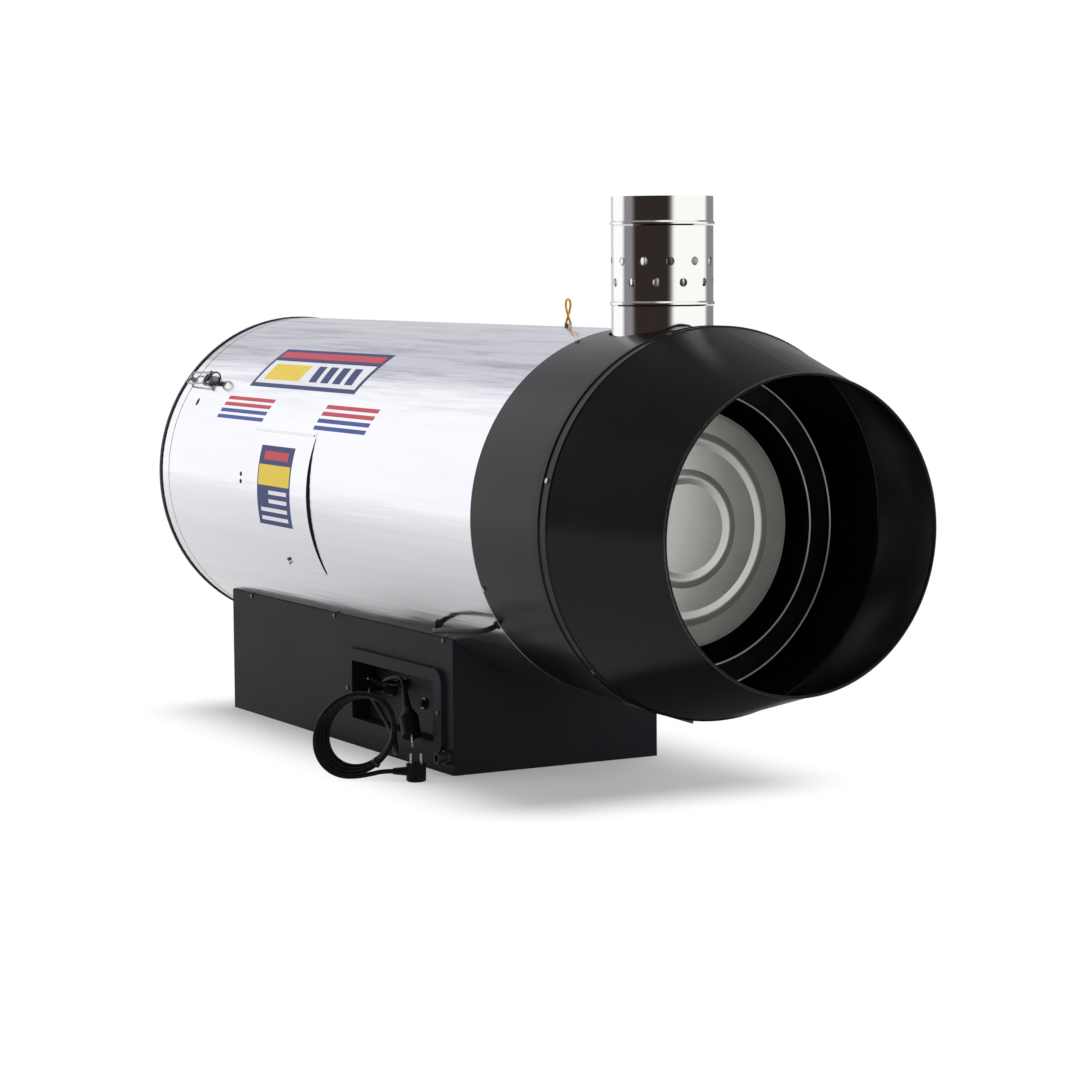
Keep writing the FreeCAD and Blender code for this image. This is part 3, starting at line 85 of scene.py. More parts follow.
def linear(code):
    """sRGB hex colour as linear red, green, blue and full alpha."""
    parts = np.array([int(code[k:k + 2], 16) for k in (1, 3, 5)]) / 255
    curve = np.where(parts <= 0.04045, parts / 12.92, ((parts + 0.055) / 1.055) ** 2.4)
    return (*curve.tolist(), 1.0)


def add(tree, kind, settings, links=None):
    """One node: settings name its properties or its input sockets, links feed its input sockets."""
    made = tree.nodes.new(kind)
    for key, value in settings.items():
        if isinstance(key, str) and hasattr(made, key):
            setattr(made, key, value)
        else:
            made.inputs[key].default_value = value
    for key, source in (links or {}).items():
        tree.links.new(source, made.inputs[key])
    return made


def surface(name, points, finish, round_u=False, round_v=False):
    """Smooth mesh over a grid of points (u, v, xyz): one face for each cell, closed where a way goes
    round. Points that share a place, as at a pole, are welded to one."""
    rows, columns = points.shape[:2]
    u = np.arange(rows if round_u else rows - 1)[:, None]
    v = np.arange(columns if round_v else columns - 1)[None, :]
    u_next, v_next = (u + 1) % rows, (v + 1) % columns
    cells = np.stack([u * columns + v, u_next * columns + v, u_next * columns + v_next,
                      u * columns + v_next], axis=-1).reshape(-1, 4)
    mesh = bpy.data.meshes.new(name)
    mesh.from_pydata(points.reshape(-1, 3), [], cells.tolist())
    mesh.polygons.foreach_set("use_smooth", np.ones(len(cells), dtype=bool))
    welded = bmesh.new()
    welded.from_mesh(mesh)
    bmesh.ops.remove_doubles(welded, verts=welded.verts, dist=weld_reach)
    welded.to_mesh(mesh)
    welded.free()
    mesh.materials.append(finish)
    made = bpy.data.objects.new(name, mesh)
    scene.collection.objects.link(made)
    return made


def new_finish(name, **numbers):
    """Material with one shader; numbers that are the same all over go straight on its sockets."""
    made = bpy.data.materials.new(name)
    made.use_nodes = True
    shader = made.node_tree.nodes["Principled BSDF"]
    for key, value in numbers.items():
        shader.inputs[key.replace("_", " ")].default_value = value
    return made, made.node_tree, shader


# Matt seamless paper, white under the lights; past the shadow it turns to plain white for the lens.
# The shadow's reach is counted from a rectangle on the floor, and a second rectangle places the painted
# shadow that metal shows.
paper, tree, shader = new_finish("matt_sweep_paper", Base_Color=linear(paper_white), Roughness=0.9)
spot = add(tree, "ShaderNodeTexCoord", {})
fars = []
for middle, half in ((shade_middle, shade_half), (glossy_shadow_middle, glossy_shadow_half)):
    beside = spot.outputs["Object"]
    for step, amount in (("SUBTRACT", middle), ("ABSOLUTE", (0, 0, 0)),
                         ("SUBTRACT", half), ("MAXIMUM", (0, 0, 0))):
        offset = add(tree, "ShaderNodeVectorMath", {"operation": step, 1: amount}, {0: beside})
        beside = offset.outputs["Vector"]
    far = add(tree, "ShaderNodeVectorMath", {"operation": "LENGTH"}, {0: beside})
    fars.append(far.outputs["Value"])
fade = add(tree, "ShaderNodeMapRange", {"interpolation_type": "SMOOTHSTEP", "From Max": shade_reach,
                                        "To Min": shade_lift}, {"Value": fars[0]})
seen = add(tree, "ShaderNodeLightPath", {})
for_lens = add(tree, "ShaderNodeMath", {"operation": "MULTIPLY"},
               {0: fade.outputs["Result"], 1: seen.outputs["Is Camera Ray"]})
share = add(tree, "ShaderNodeMath", {"operation": "MAXIMUM"},
            {0: for_lens.outputs["Value"], 1: seen.outputs["Is Glossy Ray"]})
# Painted shadow for metal: glossy rays see the paper as a glow, dim inside the second rectangle and full
# far from it
apart = add(tree, "ShaderNodeMath", {"operation": "DIVIDE", "use_clamp": True, 1: glossy_shadow_reach},
            {0: fars[1]})
bent = add(tree, "ShaderNodeMath", {"operation": "POWER", 1: glossy_shadow_bend}, {0: apart.outputs["Value"]})
glossy_shadow_glow = add(tree, "ShaderNodeMapRange", {"To Min": glossy_shadow_dim}, {"Value": bent.outputs["Value"]})
white = add(tree, "ShaderNodeMath", {"operation": "MAXIMUM"},
            {0: glossy_shadow_glow.outputs["Result"], 1: seen.outputs["Is Camera Ray"]})
glow = add(tree, "ShaderNodeEmission", {}, {"Strength": white.outputs["Value"]})
both = add(tree, "ShaderNodeMixShader", {},
           {0: share.outputs["Value"], 1: shader.outputs["BSDF"], 2: glow.outputs["Emission"]})
tree.links.new(both.outputs["Shader"], tree.nodes["Material Output"].inputs["Surface"])
reach, sides = np.meshgrid(np.linspace(0.0, paper_reach, 8),
                           np.linspace(0, 2 * np.pi, 48, endpoint=False), indexing="ij")
sweep = surface("sweep_floor", np.stack([reach * np.cos(sides), reach * np.sin(sides), 0 * reach], -1),
                paper, round_v=True)

# The room: each wall is a soft lobe round its direction, which starts at one cosine and is full at another
world = bpy.data.worlds.new("studio_room")
scene.world = world
world.use_nodes = True
tree = world.node_tree
spot = add(tree, "ShaderNodeTexCoord", {})
walls = None
for side, start, full, tone in ((end_side, 0.68, 0.84, linear(room_grey)),
                                (top_side, 0.82, 0.93, room_white),
                                (rear_side, 0.85, 0.94, rear_white),
                                (right_side, 0.59, 0.79, right_white),
                                (dark_side, 0.62, 0.82, linear(room_dark))):
    toward = add(tree, "ShaderNodeVectorMath", {"operation": "DOT_PRODUCT", 1: side},
                 {0: spot.outputs["Generated"]})
    part = add(tree, "ShaderNodeMapRange", {"interpolation_type": "SMOOTHSTEP", "From Min": start,
                                            "From Max": full}, {"Value": toward.outputs["Value"]})
    mixed = add(tree, "ShaderNodeMix", {"data_type": "RGBA", 6: linear(room_dim), 7: tone},
                {0: part.outputs["Result"]} if walls is None else {0: part.outputs["Result"], 6: walls})
    walls = mixed.outputs[2]
seen = add(tree, "ShaderNodeLightPath", {})
shown = add(tree, "ShaderNodeMix", {"data_type": "RGBA", 6: room_fill},
            {0: seen.outputs["Is Glossy Ray"], 7: walls})
sky = add(tree, "ShaderNodeMix", {"data_type": "RGBA", 7: room_white},
          {0: seen.outputs["Is Camera Ray"], 6: shown.outputs[2]})
tree.links.new(sky.outputs[2], tree.nodes["Background"].inputs["Color"])

# Soft lights: square cloth boxes on stands, which neither the lens nor the metal sees
for name, place, aim, size, power in (
        ("overhead_softbox", (0.3, -0.7, 3.8), (0.0, -0.2, 0.0), 3.2, 52.0),
        ("left_softbox", (-3.6, 2.0, 1.7), (0.0, 0.2, 0.5), 2.2, 24.0),
        ("right_softbox", (2.7, -3.2, 2.2), (-0.1, -0.5, 0.4), 2.2, 55.0),
        ("front_softbox", (-1.9, -3.6, 2.0), (0.0, -0.6, 0.45), 0.9, 16.0)):
    lamp = bpy.data.lights.new(name, "AREA")
    lamp.size = size
    lamp.energy = power
    holder = bpy.data.objects.new(name, lamp)
    scene.collection.objects.link(holder)
    ahead = np.array(aim) - np.array(place)
    back = -ahead / np.linalg.norm(ahead)
    level_way = np.cross((0.0, 1.0, 0.0), back)
    level_way /= np.linalg.norm(level_way)
    axes = np.eye(4)
    axes[:3, :4] = np.stack([level_way, np.cross(back, level_way), back, np.array(place)], axis=1)
    holder.matrix_world = Matrix(axes.tolist())
    holder.visible_camera = False
    holder.visible_glossy = False

# Base box: tray, end walls and side covers folded from sheet and screwed on inner rails.
# Sheet steel, powder coated in satin black: the coat has a lilac cast and a faint orange peel of 1.5 mm.
box_black, box_worn, box_peel, box_cloud = "#1D1C21", "#232227", 0.0015, 0.11


def dress(finish, *names):
    """Puts one finish on every material slot of the named CAD nodes."""
    for name in names:
        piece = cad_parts[name]
        if not piece.material_slots:
            piece.data.materials.append(None)
        for slot in piece.material_slots:
            slot.material = finish


box_coat, tree, shader = new_finish("satin_black_powder_coat", Specular_IOR_Level=0.09)
spot = add(tree, "ShaderNodeTexCoord", {})
peel = add(tree, "ShaderNodeTexNoise", {"Scale": 1 / box_peel, "Detail": 2.0},
           {"Vector": spot.outputs["Object"]})
rise = add(tree, "ShaderNodeBump", {"Strength": 0.1, "Distance": 0.0002}, {"Height": peel.outputs["Fac"]})
tree.links.new(rise.outputs["Normal"], shader.inputs["Normal"])
cloud = add(tree, "ShaderNodeTexNoise", {"Scale": 1 / box_cloud, "Detail": 3.0},
            {"Vector": spot.outputs["Object"]})
gloss = add(tree, "ShaderNodeMapRange", {"To Min": 0.38, "To Max": 0.54}, {"Value": cloud.outputs["Fac"]})
tree.links.new(gloss.outputs["Result"], shader.inputs["Roughness"])
tone = add(tree, "ShaderNodeMix", {"data_type": "RGBA", 6: linear(box_black), 7: linear(box_worn)},
           {0: cloud.outputs["Fac"]})
tree.links.new(tone.outputs[2], shader.inputs["Base Color"])
dress(box_coat, "base_tray", "side_cover_left", "side_cover_right", "control_bezel", "control_plate")

# Inner rails, latch mounts and hooks, screws, brackets, pipes and fan ring: pressed and turned steel.
# Their bright zinc coat has a cool grey sheen with a faint cloudy spangle of a few millimetres.
zinc_grey, zinc_cloud, zinc_spangle = "#C2C4C9", "#94969B", 0.004
zinc, tree, shader = new_finish("bright_zinc_plate", Metallic=1.0)
spot = add(tree, "ShaderNodeTexCoord", {})
cloud = add(tree, "ShaderNodeTexNoise", {"Scale": 1 / zinc_spangle, "Detail": 3.0},
            {"Vector": spot.outputs["Object"]})
tone = add(tree, "ShaderNodeMix", {"data_type": "RGBA", 6: linear(zinc_cloud), 7: linear(zinc_grey)},
           {0: cloud.outputs["Fac"]})
tree.links.new(tone.outputs[2], shader.inputs["Base Color"])
gloss = add(tree, "ShaderNodeMapRange", {"To Min": 0.22, "To Max": 0.4}, {"Value": cloud.outputs["Fac"]})
tree.links.new(gloss.outputs["Result"], shader.inputs["Roughness"])
dress(zinc, "side_rails", "latch_mounts", "latch_hook_left", "latch_hook_right", "drum_screws",
      "fan_shroud", "motor_bracket", "burner_gas_pipe", "gas_feed_pipe", "exchanger_supports")

# Fan: cast blades on a ground shaft, driven by a motor with a ribbed housing behind a wire guard.
# Sand-cast aluminium is dull with a fine 1 mm grain; the housing has hammered paint of about 3 mm cells.
# The shaft has grinding rings, drawn at 0.6 mm so that they show, and the guard a dip coat with some peel.
cast_pale, cast_grain = "#A7A8AA", 0.001
cast_alloy, tree, shader = new_finish("sand_cast_aluminium", Base_Color=linear(cast_pale), Metallic=1.0)
spot = add(tree, "ShaderNodeTexCoord", {})
grain = add(tree, "ShaderNodeTexNoise", {"Scale": 1 / cast_grain, "Detail": 3.0},
            {"Vector": spot.outputs["Object"]})
gloss = add(tree, "ShaderNodeMapRange", {"To Min": 0.4, "To Max": 0.65}, {"Value": grain.outputs["Fac"]})
tree.links.new(gloss.outputs["Result"], shader.inputs["Roughness"])
rise = add(tree, "ShaderNodeBump", {"Strength": 0.3, "Distance": 0.0002}, {"Height": grain.outputs["Fac"]})
tree.links.new(rise.outputs["Normal"], shader.inputs["Normal"])
dress(cast_alloy, "fan_rotor")

ground_grey, ground_line, ground_run = "#BFC0C2", 0.0006, 0.05
ground_steel, tree, shader = new_finish("ground_steel", Base_Color=linear(ground_grey), Metallic=1.0)
spot = add(tree, "ShaderNodeTexCoord", {})
rings = add(tree, "ShaderNodeMapping", {"Scale": (1 / ground_run, 1 / ground_line, 1 / ground_run)},
            {"Vector": spot.outputs["Object"]})
lines = add(tree, "ShaderNodeTexNoise", {"Scale": 1.0, "Detail": 1.0}, {"Vector": rings.outputs["Vector"]})
gloss = add(tree, "ShaderNodeMapRange", {"To Min": 0.18, "To Max": 0.36}, {"Value": lines.outputs["Fac"]})
tree.links.new(gloss.outputs["Result"], shader.inputs["Roughness"])
dress(ground_steel, "fan_shaft", "toggle_lever")

motor_blue, motor_light, hammer_cell = "#36414F", "#465465", 0.003
motor_paint, tree, shader = new_finish("hammered_machine_paint", Roughness=0.34)
spot = add(tree, "ShaderNodeTexCoord", {})
cells = add(tree, "ShaderNodeTexVoronoi", {"Scale": 1 / hammer_cell}, {"Vector": spot.outputs["Object"]})
tone = add(tree, "ShaderNodeMix", {"data_type": "RGBA", 6: linear(motor_light), 7: linear(motor_blue)},
           {0: cells.outputs["Distance"]})
tree.links.new(tone.outputs[2], shader.inputs["Base Color"])
rise = add(tree, "ShaderNodeBump", {"Strength": 0.4, "Distance": 0.0004},
           {"Height": cells.outputs["Distance"]})
tree.links.new(rise.outputs["Normal"], shader.inputs["Normal"])
dress(motor_paint, "fan_motor")

guard_black, guard_peel = "#1B1B1D", 0.0012
guard_coat, tree, shader = new_finish("dip_coated_wire", Base_Color=linear(guard_black), Roughness=0.35)
spot = add(tree, "ShaderNodeTexCoord", {})
peel = add(tree, "ShaderNodeTexNoise", {"Scale": 1 / guard_peel, "Detail": 2.0},
           {"Vector": spot.outputs["Object"]})
rise = add(tree, "ShaderNodeBump", {"Strength": 0.2, "Distance": 0.0002}, {"Height": peel.outputs["Fac"]})
tree.links.new(rise.outputs["Normal"], shader.inputs["Normal"])
dress(guard_coat, "guard_grille")

# Burner and gas line: stainless head with a straw heat tint, glazed ceramic electrodes, brass valve.
# The tint comes in soft bands of about 25 mm, the glaze shines over fine specks, and the brass is warm,
# with dull patches from handling.
burner_straw, burner_blue, tint_band = "#B59A74", "#7F8492", 0.025
burner_steel, tree, shader = new_finish("heat_tinted_stainless", Metallic=1.0, Roughness=0.3)
spot = add(tree, "ShaderNodeTexCoord", {})
bands = add(tree, "ShaderNodeTexNoise", {"Scale": 1 / tint_band, "Detail": 2.0},
            {"Vector": spot.outputs["Object"]})
tone = add(tree, "ShaderNodeMix", {"data_type": "RGBA", 6: linear(burner_straw), 7: linear(burner_blue)},
           {0: bands.outputs["Fac"]})
tree.links.new(tone.outputs[2], shader.inputs["Base Color"])
dress(burner_steel, "burner_head", "burner_tube")

glaze_white, glaze_speck = "#EFECE4", 0.002
ceramic, tree, shader = new_finish("glazed_ceramic", Base_Color=linear(glaze_white), Coat_Weight=0.6,
                                   Coat_Roughness=0.08)
spot = add(tree, "ShaderNodeTexCoord", {})
speck = add(tree, "ShaderNodeTexNoise", {"Scale": 1 / glaze_speck, "Detail": 2.0},
            {"Vector": spot.outputs["Object"]})
gloss = add(tree, "ShaderNodeMapRange", {"To Min": 0.25, "To Max": 0.45}, {"Value": speck.outputs["Fac"]})
tree.links.new(gloss.outputs["Result"], shader.inputs["Roughness"])
dress(ceramic, "electrode_pair")

brass_warm, brass_dull, brass_patch = "#D3A95A", "#A98445", 0.012
brass, tree, shader = new_finish("turned_brass", Metallic=1.0, Roughness=0.28)
spot = add(tree, "ShaderNodeTexCoord", {})
patch = add(tree, "ShaderNodeTexNoise", {"Scale": 1 / brass_patch, "Detail": 3.0},
            {"Vector": spot.outputs["Object"]})
tone = add(tree, "ShaderNodeMix", {"data_type": "RGBA", 6: linear(brass_dull), 7: linear(brass_warm)},
           {0: patch.outputs["Fac"]})
tree.links.new(tone.outputs[2], shader.inputs["Base Color"])
dress(brass, "gas_valve")

# Gas inlet, controller box, cord glands and cable tie: moulded or blackened, with a fine satin grain.
# The grain takes the edge off every highlight; it is drawn at 0.6 mm, coarser than it is, so that it shows.
moulding_black, moulding_grain = "#17171A", 0.0006
moulding, tree, shader = new_finish("black_moulded_plastic", Base_Color=linear(moulding_black),
                                    Roughness=0.45)
spot = add(tree, "ShaderNodeTexCoord", {})
grain = add(tree, "ShaderNodeTexNoise", {"Scale": 1 / moulding_grain, "Detail": 1.0},
            {"Vector": spot.outputs["Object"]})
rise = add(tree, "ShaderNodeBump", {"Strength": 0.15, "Distance": 0.0001}, {"Height": grain.outputs["Fac"]})
tree.links.new(rise.outputs["Normal"], shader.inputs["Normal"])
dress(moulding, "cord_glands", "ignition_controller", "coil_tie", "gas_inlet_union")

# Combustion chamber and its crossover duct: rolled aluminised steel, pale where the outlet shows it.
# The hot-dip coat is a soft white-grey with faint clouds of 40 mm and a broad sheen.
chamber_pale, chamber_cloud, chamber_patch = "#F5F3EC", "#E6E4DC", 0.04
chamber_coat, tree, shader = new_finish("aluminised_steel", Metallic=0.62)
spot = add(tree, "ShaderNodeTexCoord", {})
cloud = add(tree, "ShaderNodeTexNoise", {"Scale": 1 / chamber_patch, "Detail": 4.0},
            {"Vector": spot.outputs["Object"]})
tone = add(tree, "ShaderNodeMix", {"data_type": "RGBA", 6: linear(chamber_cloud), 7: linear(chamber_pale)},
           {0: cloud.outputs["Fac"]})
tree.links.new(tone.outputs[2], shader.inputs["Base Color"])
gloss = add(tree, "ShaderNodeMapRange", {"To Min": 0.29, "To Max": 0.37}, {"Value": cloud.outputs["Fac"]})
tree.links.new(gloss.outputs["Result"], shader.inputs["Roughness"])
dress(chamber_coat, "chamber_shell", "crossover_duct")

# End disc: pressed from one aluminised sheet and set into the chamber's front end.
# Two round ridges stiffen it, and a flange is turned back at its rim.
disc_flange, disc_sheet, disc_bend = 0.015, 0.001, 0.002
ridge_insets, ridge_half, ridge_high, ridge_round = (0.1178, 0.0498), 0.013, 0.0036, 0.25
disc_low, disc_high = (np.array(corner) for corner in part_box("chamber_end_disc"))
disc_middle, disc_radius = (disc_low + disc_high) / 2, (disc_high[0] - disc_low[0]) / 2
disc_face = disc_high[1] - disc_flange


def give_wall(piece, thick):
    """Wall that grows inwards from the drawn surface by its thickness."""
    wall = piece.modifiers.new("wall", "SOLIDIFY")
    wall.thickness = thick
    wall.offset = -1.0


def ridge_lift(reach):
    """How far the disc stands forward: at each ridge a hyperbola over the radius, which has a round crest
    on straight flanks."""
    lift = 0 * reach
    for inset in ridge_insets:
        off = np.clip(np.abs(reach - (disc_radius - inset)) / ridge_half, 0, 1)
        crest = np.hypot(1, ridge_round) - np.hypot(off, ridge_round)
        lift = lift + ridge_high * crest / (np.hypot(1, ridge_round) - ridge_round)
    return lift


flat_reach = np.unique(np.concatenate([np.linspace(0, disc_radius - disc_bend, 41)] + [
    disc_radius - inset + ridge_half * np.linspace(-1.05, 1.05, 43) for inset in ridge_insets]))
bend = np.linspace(0, np.pi / 2, 7)[1:]
reach = np.concatenate([flat_reach, disc_radius - disc_bend * (1 - np.sin(bend)), [disc_radius]])
depth = np.concatenate([-ridge_lift(flat_reach), disc_bend * (1 - np.cos(bend)), [disc_flange]])[:, None]
around = np.linspace(0, 2 * np.pi, 160, endpoint=False)[None, :]
end_disc = surface("end_disc", np.stack([disc_middle[0] + reach[:, None] * np.cos(around),
                                         disc_face + depth + 0 * around,
                                         disc_middle[2] + reach[:, None] * np.sin(around)], -1),
                   chamber_coat, round_v=True)
give_wall(end_disc, disc_sheet)
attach(end_disc, "heater")
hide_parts("chamber_end_disc")

# Exchanger: two rolled steel shells round the chamber, with their front edges turned to thin bright rims.
# The shells are painted a dark grey in clouds of about 30 mm, as painted shade for the deep gap between
# them.
exchanger_grey, gap_shade_grey, shell_cloud_size = "#4A4948", "#232221", 0.03
exchanger_steel, tree, shader = new_finish("gap_shade_dark_steel", Metallic=1.0)
spot = add(tree, "ShaderNodeTexCoord", {})
cloud = add(tree, "ShaderNodeTexNoise", {"Scale": 1 / shell_cloud_size, "Detail": 4.0},
            {"Vector": spot.outputs["Object"]})
# Painted shade: both tones are dark so that the gap between the shells reads as shaded
tone = add(tree, "ShaderNodeMix", {"data_type": "RGBA", 6: linear(gap_shade_grey), 7: linear(exchanger_grey)},
           {0: cloud.outputs["Fac"]})
tree.links.new(tone.outputs[2], shader.inputs["Base Color"])
gloss = add(tree, "ShaderNodeMapRange", {"To Min": 0.4, "To Max": 0.6}, {"Value": cloud.outputs["Fac"]})
tree.links.new(gloss.outputs["Result"], shader.inputs["Roughness"])
dress(exchanger_steel, "exchanger_inner_shell", "exchanger_outer_shell")

chamber_axis_z, exchanger_front = 0.48706, -0.650
rim_outer, rim_inner, rim_proud, rim_half = 0.287, 0.244, 0.0016, 0.0017


def round_bead(name, middle, radius, half, finish):
    """Ring about an axis along the drum: a circle of half the bead's width carried round a larger one."""
    way, turn = np.meshgrid(np.linspace(0, 2 * np.pi, 192, endpoint=False),
                            np.linspace(0, 2 * np.pi, 12, endpoint=False), indexing="ij")
    reach = radius + half * np.cos(turn)
    made = surface(name, np.stack([middle[0] + reach * np.cos(way), middle[1] - half * np.sin(turn),
                                   middle[2] + reach * np.sin(way)], -1),
                   finish, round_u=True, round_v=True)
    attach(made, "heater")
    return made


for name, radius in (("exchanger_outer_rim", rim_outer), ("exchanger_inner_rim", rim_inner)):
    rim = round_bead(name, (0, exchanger_front - rim_proud, chamber_axis_z), radius, rim_half, chamber_coat)

# Drum casing, rear cover and door hinge: bright annealed stainless sheet, rolled round and seamed.
# Rolling lines run along the drum, drawn 2 mm wide so that they show, and slow waves of the sheet draw its
# reflections out. Dull darker streaks lie on the crown only, fading in between two heights.
steel_bright, steel_mist, steel_streak = "#F4F4F8", "#E6E6EC", "#BFBEC7"
streak_width, streak_length, crown_start, crown_full = 0.018, 0.45, 0.64, 0.76
line_width, line_length, wave_width, wave_length = 0.0022, 0.35, 0.045, 0.8
drum_steel, tree, shader = new_finish("bright_rolled_stainless", Metallic=1.0)
spot = add(tree, "ShaderNodeTexCoord", {})
along = add(tree, "ShaderNodeMapping", {"Scale": (1 / line_width, 1 / line_length, 1 / line_width)},
            {"Vector": spot.outputs["Object"]})
lines = add(tree, "ShaderNodeTexNoise", {"Scale": 1.0, "Detail": 3.0}, {"Vector": along.outputs["Vector"]})
slow = add(tree, "ShaderNodeMapping", {"Scale": (1 / wave_width, 1 / wave_length, 1 / wave_width)},
           {"Vector": spot.outputs["Object"]})
waves = add(tree, "ShaderNodeTexNoise", {"Scale": 1.0, "Detail": 3.0, "Roughness": 0.5},
            {"Vector": slow.outputs["Vector"]})
gloss = add(tree, "ShaderNodeMapRange", {"To Min": 0.1, "To Max": 0.24}, {"Value": lines.outputs["Fac"]})
tree.links.new(gloss.outputs["Result"], shader.inputs["Roughness"])
high = add(tree, "ShaderNodeSeparateXYZ", {}, {"Vector": spot.outputs["Object"]})
# Darker streaks, on the crown only: above a set height
crown = add(tree, "ShaderNodeMapRange", {"interpolation_type": "SMOOTHSTEP", "From Min": crown_start,
                                         "From Max": crown_full}, {"Value": high.outputs["Z"]})
thin = add(tree, "ShaderNodeMapping", {"Scale": (1 / streak_width, 1 / streak_length, 1 / streak_width)},
           {"Vector": spot.outputs["Object"]})
streaks = add(tree, "ShaderNodeTexNoise", {"Scale": 1.0, "Detail": 5.0, "Roughness": 0.65},
              {"Vector": thin.outputs["Vector"]})
dull = add(tree, "ShaderNodeMapRange", {"interpolation_type": "SMOOTHSTEP", "From Min": 0.42,
                                        "From Max": 0.68}, {"Value": streaks.outputs["Fac"]})
drawn = add(tree, "ShaderNodeMath", {"operation": "MULTIPLY"},
            {0: crown.outputs["Result"], 1: dull.outputs["Result"]})
sheen = add(tree, "ShaderNodeMix", {"data_type": "RGBA", 6: linear(steel_mist), 7: linear(steel_bright)},
            {0: waves.outputs["Fac"]})
tone = add(tree, "ShaderNodeMix", {"data_type": "RGBA", 7: linear(steel_streak)},
           {0: drawn.outputs["Value"], 6: sheen.outputs[2]})
tree.links.new(tone.outputs[2], shader.inputs["Base Color"])
roll = add(tree, "ShaderNodeBump", {"Strength": 1.0, "Distance": 0.0022}, {"Height": waves.outputs["Fac"]})
rise = add(tree, "ShaderNodeBump", {"Strength": 0.05, "Distance": 0.0001},
           {"Height": lines.outputs["Fac"], "Normal": roll.outputs["Normal"]})
tree.links.new(rise.outputs["Normal"], shader.inputs["Normal"])
dress(drum_steel, "casing_shell", "rear_cover_band", "door_hinge_leaf", "door_hinge_pin", "door_fastener")

# Rear edge trim: extruded rubber channel, cut to length and pressed over the cover's rim.
# The rubber is a dull black with a fine drag grain, drawn at 0.8 mm so that it shows.
trim_black, trim_grain = "#111113", 0.0008
trim_rubber, tree, shader = new_finish("extruded_black_rubber", Base_Color=linear(trim_black))
spot = add(tree, "ShaderNodeTexCoord", {})
grain = add(tree, "ShaderNodeTexNoise", {"Scale": 1 / trim_grain, "Detail": 2.0},
            {"Vector": spot.outputs["Object"]})
gloss = add(tree, "ShaderNodeMapRange", {"To Min": 0.45, "To Max": 0.65}, {"Value": grain.outputs["Fac"]})
tree.links.new(gloss.outputs["Result"], shader.inputs["Roughness"])
dress(trim_rubber, "rear_edge_trim")

# Access door: a curved flap of the casing's own sheet, hung from a pin that a narrow strip covers.
# Its front edge has sprung out by some millimetres at half height, and it laps over the opening's other
# edges. Its upper corners are cut back, to turn clear of the casing.
drum_radius, drum_axis_z = 0.331, 0.50306
door_front, door_rear, door_low, door_high = 0.2337, 0.529, np.radians(-28.6), np.radians(20.78)
door_spring, corner_share, door_proud, flap_thick = 0.0042, 0.25, 0.0003, 0.0002
notch_start, notch_full, notch_front, notch_rear = np.radians(19.5), np.radians(20.3), 0.0022, 0.0060
knuckle_radius, knuckle_bore, pin_line_radius, pin_angle = 0.0025, 0.00135, 0.33025, np.radians(20.5)
knuckles = ((0.2994, 0.3552), (0.4118, 0.4676))
strip_low, strip_high, rim_share = 20.83, 21.7, 0.001


def door_lift(y, angle):
    """How far the flap stands off the drum: half a sine over its height and a share of it at the low
    corner, the share falling with the fifth power upwards, and both fading with the square to the rear."""
    height = np.clip((angle - door_low) / (door_high - door_low), 0, 1)
    back = np.clip((y - door_front) / (door_rear - door_front), 0, 1)
    sprung = np.sin(np.pi * height) + corner_share * (1 - height) ** 5
    return door_proud + door_spring * sprung * (1 - back) ** 2


def on_drum(y, angle, radius):
    """Points at a station y along the drum and an angle from its left side towards its top."""
    return np.stack([-radius * np.cos(angle), y, drum_axis_z + radius * np.sin(angle)], -1)


def edged(start, end, count):
    """Even steps from start to end, and one more close to each end, which keeps a wall's rim crisp."""
    share = np.concatenate([[0.0], np.linspace(rim_share, 1 - rim_share, count), [1.0]])
    return start + (end - start) * share


turn, share = np.meshgrid(edged(door_low, door_high, 49), edged(0, 1, 41), indexing="ij")
notch = np.clip((turn - notch_start) / (notch_full - notch_start), 0, 1)
station = (door_front + notch_front * notch) * (1 - share) + (door_rear - notch_rear * notch) * share
flap = surface("door_flap", on_drum(station, turn, drum_radius + door_lift(station, turn)), drum_steel)
give_wall(flap, flap_thick)
flap_pieces = [flap]
pin_x, pin_z = -pin_line_radius * np.cos(pin_angle), drum_axis_z + pin_line_radius * np.sin(pin_angle)
for k, (start, end) in enumerate(knuckles):
    turn, station = np.meshgrid(np.linspace(0, 2 * np.pi, 24, endpoint=False), edged(start, end, 2),
                                indexing="ij")
    knuckle = surface("door_knuckle_%d" % (k + 1), np.stack(
        [pin_x + knuckle_radius * np.cos(turn), station, pin_z - knuckle_radius * np.sin(turn)], -1),
        drum_steel, round_u=True)
    give_wall(knuckle, knuckle_radius - knuckle_bore)
    flap_pieces.append(knuckle)
turn, station = np.meshgrid(np.radians(edged(strip_low, strip_high, 5)), edged(door_front, door_rear, 9),
                            indexing="ij")
strip = surface("hinge_cover_strip", on_drum(station, turn, drum_radius + door_proud), drum_steel)
give_wall(strip, flap_thick)
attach(strip, "heater")
for piece in flap_pieces:
    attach(piece, "door")
    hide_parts("access_door")

